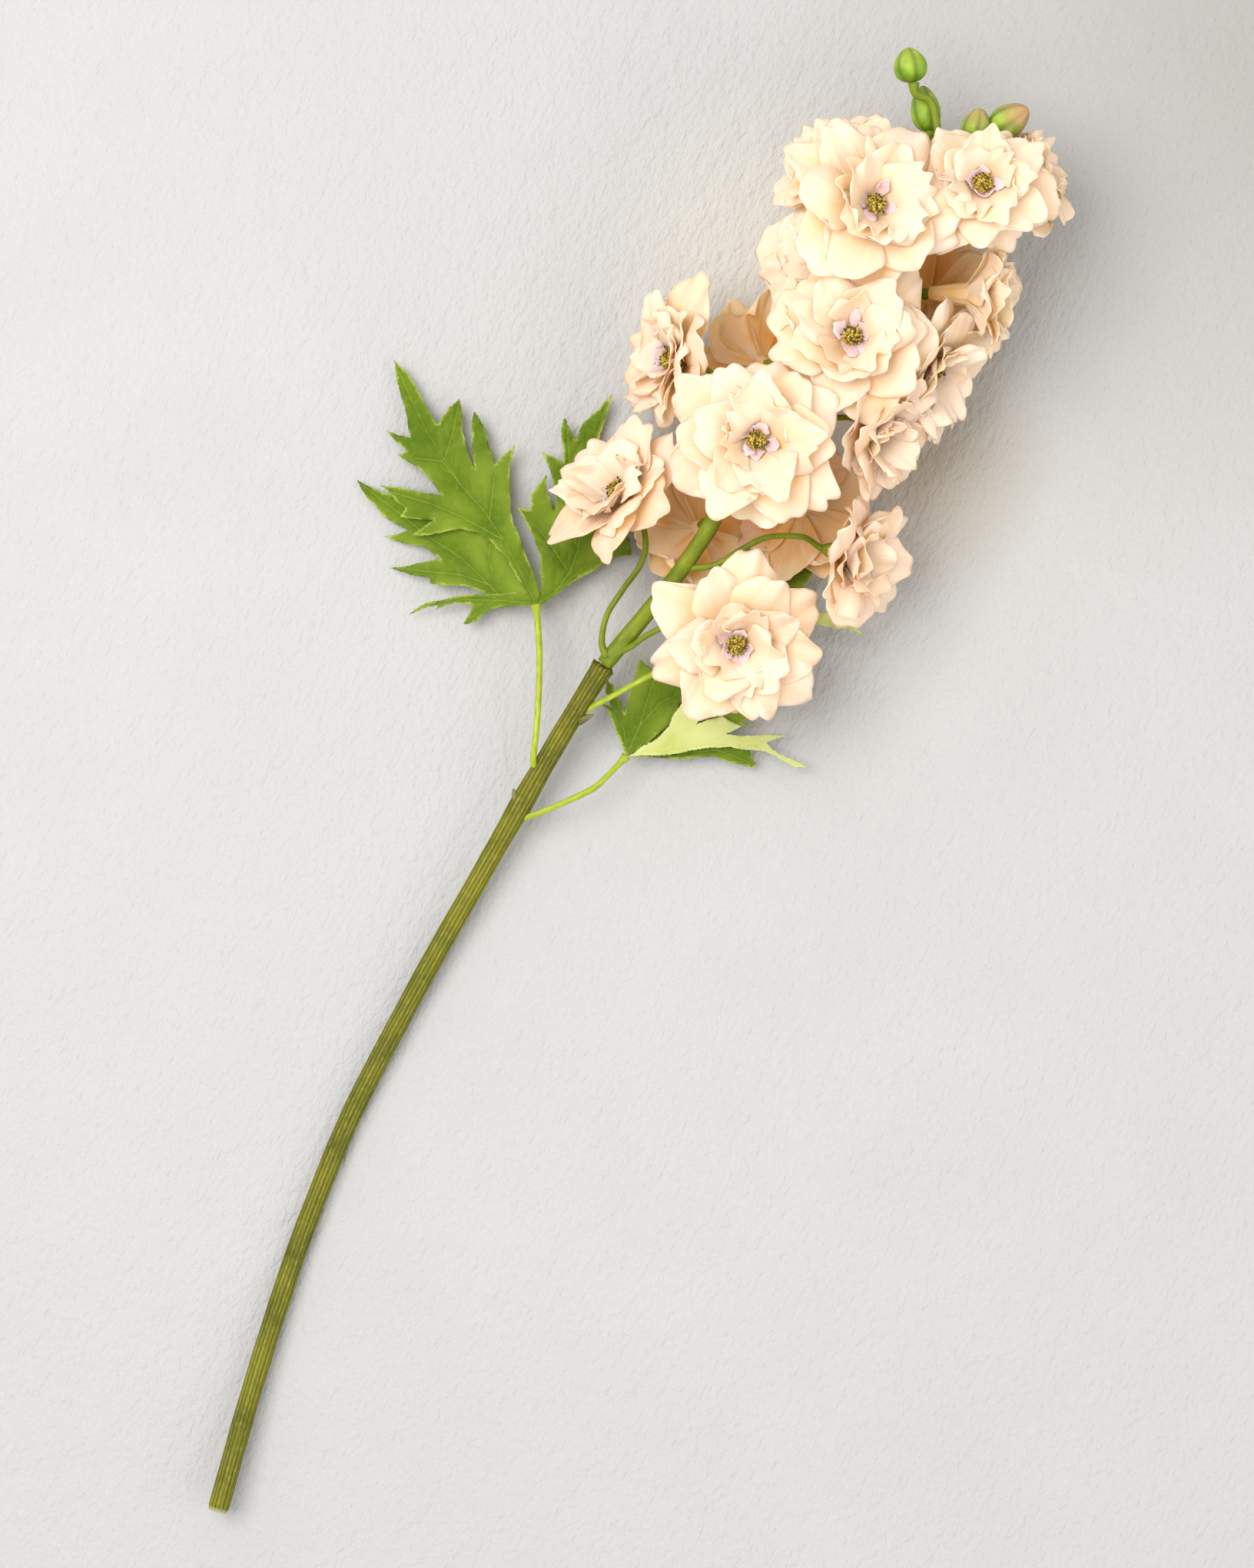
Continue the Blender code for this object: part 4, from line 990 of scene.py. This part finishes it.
def eye_lilac(name, index, finish):
    """Small lilac petals round the stamens."""
    base = bloom_matrix(name) @ Matrix.Translation((0, 0, CLEARANCE))
    across, along, grid = sheet_grid(*LILAC_GRID)
    draw = random.Random(7000 + index)
    count = draw.choice((4, 5, 5))
    petals = Sheets(grid)
    for number in range(count):
        shape = lilac_shape(draw)
        turn = 2 * math.pi * (number + 0.5) / count + draw.uniform(-0.35, 0.35)
        petal = rotated(petal_points(shape, across, along), base @ Matrix.Rotation(turn, 4, "Z"))
        petals.add(petal, along, 0.0, draw.random())
    return thickened(petals.piece(f"lilac_{name}", finish), PETAL_THICKNESS)


def small_ball():
    """Points and faces of a small ball, from Blender's own icosphere."""
    bpy.ops.object.select_all(action="DESELECT")
    bpy.ops.mesh.primitive_ico_sphere_add(subdivisions=1, radius=1.0)
    ball = bpy.context.object
    points = np.array([vertex.co[:] for vertex in ball.data.vertices])
    faces = [tuple(face.vertices) for face in ball.data.polygons]
    bpy.data.objects.remove(ball, do_unlink=True)
    return points, faces


def scattered(name, spots_on_eye, ball, finish):
    """Copies of a ball as (place, direction, width, length), in one piece."""
    shape, grid = ball
    balls = Sheets(grid)
    for where, facing, width, length in spots_on_eye:
        turn = np.array(facing.to_track_quat("Z", "Y").to_matrix())
        balls.add((shape * (width, width, length)) @ turn.T + np.array(where))
    return balls.piece(name, finish)


def eye_stamens(name, index, ball, gold, speck):
    """Golden anthers crowded on a dome, with black specks among them."""
    base = bloom_matrix(name) @ Matrix.Translation((0, 0, CLEARANCE))
    turn = base.to_3x3()
    draw = random.Random(7500 + index)
    anthers, specks = [], []
    whole = ANTHER_COUNT + SPECK_COUNT
    for number in range(whole):
        share = math.sqrt((number + 0.5) / whole)
        angle = number * GOLDEN_ANGLE + draw.uniform(-0.25, 0.25)
        reach = share * CLUSTER_RADIUS * draw.uniform(0.92, 1.06)
        up = (4.6 - 2.6 * share ** 2) * MM + draw.uniform(-0.5, 0.7) * MM
        spot = Vector((reach * math.cos(angle), reach * math.sin(angle), up))
        lean = Vector((spot.x * 0.6, spot.y * 0.6, 5 * MM)).normalized()
        if number % 4 == 2:
            specks.append((base @ (spot + lean * 0.9 * MM), turn @ lean, SPECK_SIZE, SPECK_SIZE * 1.5))
        size = ANTHER_SIZE * draw.uniform(0.8, 1.25)
        anthers.append((base @ spot, turn @ lean, size, size * 1.5))
        anthers.append((base @ (spot - lean * 1.9 * MM), turn @ lean, *FILAMENT_SIZE))
    dome = (base @ Vector((0, 0, 1.0 * MM)), turn @ Vector((0, 0, 1)), CLUSTER_RADIUS * 0.9, 2.2 * MM)
    golden = scattered(f"stamens_{name}", anthers + [dome], ball, gold)
    return golden, scattered(f"specks_{name}", specks, ball, speck)


def main_stem(finish):
    """The ribbed stem: shallow uneven ribs, swellings, a ragged collar, a pale cut end and torn stubs."""
    route = smooth_route(places(STEM_ROUTE), 2.0 * MM)
    swollen = [(place(*min(STEM_ROUTE, key=lambda spot: abs(spot[1] - y))).y, size)
               for y, size in STEM_SWELLINGS.items()]
    lengths = lengths_along(route)
    ways = np.array([point.y for point in route])
    whole = lengths[-1]

    def groove_at(angles, gone):
        drift = 0.35 * math.sin(gone * 38) + 0.2 * math.sin(gone * 90 + 1)
        fine = ribs(angles, STEM_RIBS, drift * 2)
        broad = ribs(angles, STEM_FURROWS, gone * 6 - drift * 3)
        return fine ** 1.8 * 0.75 + broad ** 2 * 0.25

    def radius_at(angles, gone):
        y = np.interp(gone, lengths, ways)
        near = [more * max(0.0, 1 - abs(y - where) / SWELLING_REACH) for where, more in swollen]
        size = 1.0 + max([0.0] + near)
        rounding = 1 - 0.10 * max(0.0, 1 - gone / CUT_ROUNDING) ** 2
        collar = 1 + 0.07 * max(0.0, 1 - (whole - gone) / COLLAR_REACH)
        knots = 1 + 0.012 * math.sin(gone * 210) + 0.01 * math.sin(gone * 77)
        return STEM_RADIUS * size * rounding * collar * knots * (1 - RIB_DEPTH * groove_at(angles, gone))

    # The groove tone carries the painted shade in the grooves.
    def tone_at(angles, gone):
        return groove_at(angles, gone), max(0.0, 1 - gone / PALE_CUT), 0.0

    def shift_at(angles, gone):
        close = max(0.0, 1 - (whole - gone) / RAGGED_REACH)
        ragged = np.sin(5 * angles + 1) * 0.5 + np.sin(9 * angles) * 0.35 + np.sin(17 * angles + 2) * 0.3
        return close * ragged * RAGGED_SIZE

    pieces = [rod("stem", route, radius_at, 132, finish, tone_at, shift_at)]
    along = (route[-1] - route[0]).normalized()
    for number, spot in enumerate(STUBS):
        pieces.append(stub(f"stub_{number}", place(*spot), route, along, finish))
    return joined(pieces, "stem")


def stub(name, tip, route, along, finish):
    """A torn stub that leaves the stem towards its tip."""
    nearest = min(route, key=lambda row: (row - tip).length)
    root = nearest + (tip - nearest) * 0.3 - along * STUB_ROOT
    path = smooth_route([root, root.lerp(tip, 0.5) + Vector((0, 0, 0.4 * MM)), tip], 0.5 * MM)
    size = (tip - root).length

    def radius_at(angles, gone):
        thick = STUB_RADIUS * max(0.0, 1 - gone / size) ** 0.7 + STUB_TIP_RADIUS
        return thick * (1 + 0.10 * np.cos(6 * angles + gone * 900))

    def tone_at(angles, gone):
        return ribs(angles, 6), 0.3 * gone / size, 0.0

    return rod(name, path, radius_at, 24, finish, tone_at)


def pedicel_route(name):
    """From the axis to just behind the bloom's throat."""
    base = bloom_matrix(name)
    seat = base @ Vector((0, 0, -core_depth(name) - CLEARANCE))
    behind = base @ Vector((0, 0, -core_depth(name) - 5 * MM))
    if name in PEDICEL_ROUTES:
        return places(PEDICEL_ROUTES[name]) + [behind, seat]
    root = axis_point(behind.y - 8 * MM)
    return [root, root.lerp(behind, 0.55) - Vector((0, 1.5 * MM, 0)), behind, seat]


def stalk_route(name):
    """From the axis to just below the bud."""
    base, tip = places(BUDS[name][:2])
    along = (tip - base).normalized()
    return places(BUD_STALKS[name]) + [base - along * 5 * MM, base - along * CLEARANCE]


def flared_rod(name, route, radius, sides, finish, foot, flare, reach, ripple, ripples, twist):
    """A rippled rod that widens at its foot, and at its end over this reach."""
    length = lengths_along(route)[-1]

    def radius_at(angles, gone):
        wider = foot * math.exp(-gone / FOOT_REACH) + flare * hump(length - gone, reach)
        return radius * (1 + wider + ripple * np.cos(ripples * angles + gone * twist))

    return rod(name, route, radius_at, sides, finish)


def flower_axis(finish):
    """The smooth axis with its pedicels, the cups under the blooms, and the bud stalks."""
    route = smooth_route(places(AXIS_ROUTE), 2.5 * MM)
    lengths = lengths_along(route)
    whole = lengths[-1]
    joint = place(*AXIS_JOINT)
    joint_at = lengths[min(range(len(route)), key=lambda index: (route[index] - joint).length)]

    def radius_at(angles, gone):
        size = AXIS_RADIUS + (AXIS_TIP_RADIUS - AXIS_RADIUS) * (gone / whole) ** AXIS_TAPER
        swelling = 1 + 0.16 * hump(gone - joint_at, 7 * MM)
        groove = 0.16 * hump(gone - joint_at, 8 * MM) * hump(angles - 2.2, 0.35)
        knots = 1 + 0.02 * math.sin(gone * 150) + 0.015 * math.sin(gone * 61)
        return size * swelling * knots * (1 - groove + 0.02 * np.cos(5 * angles + gone * 12))

    pieces = [rod("axis", route, radius_at, 40, finish)]
    for name in BLOOMS:
        pieces.append(flared_rod(
            f"pedicel_{name}", smooth_route(pedicel_route(name), 1.8 * MM), PEDICEL_RADIUS, 16, finish,
            0.9, 0.55, 4 * MM, 0.06, 3, 40))
        if name not in BARE_THROATS:
            pieces.append(calyx(name, finish))
    for name in BUD_STALKS:
        pieces.append(flared_rod(
            f"stalk_{name}", smooth_route(stalk_route(name), 1.5 * MM), BUD_STALK_RADIUS, 18, finish,
            0.0, 0.45, 2.5 * MM, 0.07, 4, 60))
    return joined(pieces, "axis")


def bud(name, finish):
    """A ribbed bud whose folded tips meet in a puckered point."""
    base, tip = places(BUDS[name][:2])
    radius = BUDS[name][2] * MM
    shares = [(1 - math.cos(math.pi * step / BUD_STEPS)) / 2 for step in range(BUD_STEPS + 1)]
    route = [base.lerp(tip, share) for share in shares]
    whole = (tip - base).length

    def radius_at(angles, gone):
        share = min(max(gone / whole, 0.0), 1.0)
        outline = math.sqrt(max(1 - (2 * share - 1) ** 2, 0.0)) * (1 + 0.20 - 0.38 * share)
        pucker = 1 - 0.25 * share ** 6 * ribs(angles, BUD_RIBS, 1.2)
        return radius * max(outline, 0.03) * (1 - 0.11 * ribs(angles, BUD_RIBS) ** 3) * pucker

    # The furrow tone carries the painted shade in the furrows.
    def tone_at(angles, gone):
        tinge = min(1.0, max(0.0, gone / whole - 0.3) / 0.5) * BUD_TINGE[name]
        return ribs(angles, BUD_RIBS) ** 4, tinge, 0.0

    return rod(name + "_skin", route, radius_at, 60, finish, tone_at)


def along_outline(corners, step, closed=True):
    """Points this far apart on a run of straight edges."""
    corners = [tuple(corner) for corner in corners]
    ends = corners[1:] + corners[:1] if closed else corners[1:]
    found = []
    for start, end in zip(corners, ends):
        steps = max(1, round(math.dist(start, end) / step))
        found += [(start[0] + (end[0] - start[0]) * n / steps, start[1] + (end[1] - start[1]) * n / steps)
                  for n in range(steps)]
    return np.array(found if closed else found + [corners[-1]])


def inside(points, outline):
    """Which points lie within an outline."""
    within = np.zeros(len(points), bool)
    x, y = points[:, 0], points[:, 1]
    for (x1, y1), (x2, y2) in zip(outline, np.roll(outline, -1, axis=0)):
        crossing = (y1 > y) != (y2 > y)
        rise = y2 - y1 if y2 != y1 else 1.0
        within ^= crossing & (x < (x2 - x1) * (y - y1) / rise + x1)
    return within


def distance_to(points, targets):
    """Each point's distance to the nearest of the targets."""
    nearest = np.full(len(points), 1e9)
    for start in range(0, len(targets), 200):
        gaps = points[:, None, :] - targets[None, start:start + 200, :]
        nearest = np.minimum(nearest, np.sqrt((gaps ** 2).sum(axis=2)).min(axis=1))
    return nearest


def rounded_outline(corners):
    """The outline with its long edges bowed a little, so that no edge is dead straight."""
    found = []
    for number, (start, end) in enumerate(zip(corners, corners[1:] + corners[:1])):
        found.append(start)
        if math.dist(start, end) > LONG_EDGE:
            bow = BOWS[number % 2]
            found.append(((start[0] + end[0]) / 2 + (end[1] - start[1]) * bow,
                          (start[1] + end[1]) / 2 - (end[0] - start[0]) * bow))
    return np.array(found)


def side_veins(vein, outline, draw):
    """Side veins that leave a main vein to both sides."""
    roots = along_outline(vein, SIDE_VEIN_STEP, closed=False)
    found = []
    for number in range(1, len(roots) - 1):
        ahead = roots[number + 1] - roots[number - 1]
        ahead = ahead / np.linalg.norm(ahead)
        for side in (-1, 1):
            turn = side * draw.uniform(0.6, 0.85)
            way = np.array([ahead[0] * math.cos(turn) - ahead[1] * math.sin(turn),
                            ahead[0] * math.sin(turn) + ahead[1] * math.cos(turn)])
            length = draw.uniform(12, 26)
            steps = np.linspace(0, length, 10)[:, None]
            path = roots[number] + way * steps + ahead * (steps / length) ** 2 * 4
            path = path[inside(path, outline)]
            if len(path) > 3:
                found.append(along_outline(path, SIDE_VEIN_POINTS, closed=False))
    return found


def scatter(points, reach, draw):
    """The points, each moved a little."""
    return points + np.array([[draw.uniform(-reach, reach), draw.uniform(-reach, reach)] for _ in points])


def blade_points(rim, veins, draw):
    """Where a lobe's flat sheet has its points: on its rim and veins, beside the veins and between them."""
    ways = [np.arange(low, high, BLADE_STEP) for low, high in zip(rim.min(axis=0), rim.max(axis=0))]
    across, along = np.meshgrid(*ways)
    field = scatter(np.stack([across.ravel(), along.ravel()], axis=1), BLADE_WOBBLE, draw)

    def clear(points, gap):
        return points[inside(points, rim) & (distance_to(points, rim) > gap)]

    field = clear(field, FIELD_RIM_GAP)
    field = field[distance_to(field, veins) > FIELD_VEIN_GAP]
    veins = clear(veins, VEIN_GAP)
    beside = clear(np.concatenate([veins + np.array(offset) for offset in BESIDE_VEIN]), VEIN_GAP)
    beside = beside[distance_to(beside, veins) > VEIN_GAP]
    return np.concatenate([rim, veins, beside, field])


def lobe(name, joint, shape, index, finishes):
    """One cloth lobe of a leaf: frayed rim, veins sunk in shallow creases, drooping to the table from the
    leaf's joint.
    """
    draw = random.Random(9000 + index)
    joint_x, joint_y, height = joint
    lift, droop, pale_up, outline, veins = shape
    outline = rounded_outline(spots(outline))
    veins = [spots(vein) for vein in veins.split("/")]
    rim = scatter(along_outline(outline, EDGE_STEP), EDGE_WOBBLE, draw)
    main_spots = np.concatenate([along_outline(vein, MAIN_VEIN_POINTS, closed=False) for vein in veins])
    sides = [path for vein in veins for path in side_veins(vein, outline, draw)]
    sheet = blade_points(rim, np.concatenate([main_spots] + sides), draw)
    edges = [(number, (number + 1) % len(rim)) for number in range(len(rim))]
    flat, _, faces, _, _, _ = delaunay_2d_cdt([Vector(spot) for spot in sheet], edges, [], 1, 0.05)
    flat = np.array([spot[:] for spot in flat])
    x, y = flat[:, 0], flat[:, 1]
    to_main = distance_to(flat, main_spots)
    to_side = distance_to(flat, np.concatenate(sides)) if sides else np.full(len(flat), 99.0)
    to_vein = np.minimum(to_main, to_side + 0.35)
    to_rim = distance_to(flat, rim)
    away = np.hypot(x - joint_x, y - joint_y) / PIXELS_PER_MM
    fall = droop * (1 - np.exp(-away / DROOP_REACH))
    sway = 0.9 * np.sin(x / 21.0) + 0.7 * np.sin(y / 17.0 + 1.0)
    puff = 0.8 * (1 - np.exp(-to_vein / 5.0)) - 0.45
    edge_wave = 0.6 * np.exp(-to_rim / 5) * np.sin(x / 4.0 + y / 5.0)
    lifted = height + lift * ramp_up(away, 0, 12) - fall + (sway + edge_wave) * ramp_up(away, 0, 30)
    lifted = np.maximum(lifted + puff * ramp_up(away, 0, 6), LOWEST_BLADE)
    vein_tone = np.maximum(ramp_up(to_main, 1.1, 0), 0.15 * ramp_up(to_side, 1.2, 0))
    # Painted light and shade: broad lighter and darker zones, painted shade beside the main veins, and
    # darker far from the joint.
    zones = 0.55 + 0.45 * np.sin(x / 15.0) * np.cos(y / 18.0 + index)
    shade = zones * (1 - 0.9 * np.exp(-to_main / 7.0)) * (1 - 0.6 * ramp_up(away, 45, 90))
    blade = new_piece(
        name, places(zip(x, y, lifted)), [tuple(face) for face in faces], finishes,
        side_by_side(vein_tone, ramp_up(to_rim, 2.0, 0), np.clip(shade, 0, 1)))
    if np.mean([face.normal.z for face in blade.data.polygons]) < 0:
        blade.data.flip_normals()
    if pale_up:
        blade.data.polygons.foreach_set("material_index", [1] * len(blade.data.polygons))
    return thickened(blade, LEAF_THICKNESS, -1 if pale_up else 1)


def leaf_blade(name, index, finishes):
    route, lobes = LEAVES[name]
    return joined(
        [lobe(f"{name}_lobe_{number}", route[-1], shape, 10 * index + number, finishes)
         for number, shape in enumerate(lobes)], name + "_blade")


def petiole(name, finish):
    """A leaf's petiole, from its hole in the stem to the knuckle at the blade's joint."""
    route = smooth_route(places(LEAVES[name][0]), 1.5 * MM)
    length = lengths_along(route)[-1]

    def radius_at(angles, gone):
        knuckle = 0.75 * hump(length - gone, 2.6 * MM)
        flat = 0.10 * np.cos(2 * angles) + 0.05 * np.cos(5 * angles + gone * 30)
        return PETIOLE_RADIUS * (1 + knuckle + flat + 0.04 * math.sin(gone * 230))

    return rod(name + "_petiole", route, radius_at, 20, finish)


def table():
    bpy.ops.object.select_all(action="DESELECT")
    bpy.ops.mesh.primitive_plane_add(size=TABLE_SIZE, location=(0, 0, 0))
    top = bpy.context.object
    top.name = "table"
    top.data.materials.append(table_finish())


def in_scene(data, where, turn):
    held = bpy.data.objects.new(data.name, data)
    held.location = where
    held.rotation_euler = turn
    bpy.context.scene.collection.objects.link(held)
    return held


def camera_above():
    """The camera looks straight down on the picture's middle and is turned as the photograph is."""
    data = bpy.data.cameras.new("camera_above")
    data.sensor_width = SENSOR
    data.lens = SENSOR * EYE_HEIGHT / (PICTURE_SIZE[1] / PIXELS_PER_MM)
    bpy.context.scene.camera = in_scene(
        data, (-ORIGIN_OFFSET.x * MM, -ORIGIN_OFFSET.y * MM, EYE_HEIGHT * MM), (0, 0, LEAN))


def lamp(name, way, distance, size, power, colour):
    """A soft square lamp that shines on the object from this way."""
    data = bpy.data.lights.new(name, "AREA")
    data.size = size
    data.energy = power
    data.color = colour
    towards = direction(*way)
    in_scene(data, LAMP_AIM + towards * distance, towards.to_track_quat("Z", "Y").to_euler())


def studio_light():
    world = bpy.data.worlds.new("studio")
    bpy.context.scene.world = world
    world.use_nodes = True
    sky = world.node_tree.nodes["Background"]
    sky.inputs["Color"].default_value = (*SKY_COLOUR, 1.0)
    sky.inputs["Strength"].default_value = SKY_STRENGTH
    for name, lamp_numbers in LAMPS.items():
        lamp(name, *lamp_numbers)
    bpy.context.scene.view_settings.view_transform = "Standard"
    bpy.context.scene.view_settings.look = "None"


def main():
    camera_above()
    studio_light()
    table()
    cream, lilac, gold, speck = petal_finish(), lilac_finish(), gold_finish(), speck_finish()
    leaf_sides = [leaf_finish(*colours) for colours in LEAF_COLOURS]
    ball = small_ball()
    for index, name in enumerate(BLOOMS):
        stand_for(bloom_petals(name, index, cream), "petal_cream", f"bloom_{name}")
        golden, black = eye_stamens(name, index, ball, gold, speck)
        stand_for(golden, "eye_gold", f"eye_{name}")
        stand_for(black, "eye_gold")
        stand_for(eye_lilac(name, index, lilac), "eye_gold", f"eye_{name}")
    stand_for(main_stem(stem_finish()), "stem_green", "main_stem")
    stand_for(flower_axis(axis_finish()), "axis_green", "flower_axis")
    green_petiole = petiole_finish()
    for index, name in enumerate(LEAVES):
        stand_for(leaf_blade(name, index, leaf_sides), "leaf_green", name)
        stand_for(petiole(name, green_petiole), "leaf_green", name)
    green_bud = bud_finish()
    for name in BUDS:
        stand_for(bud(name, green_bud), "bud_green", name)


main()
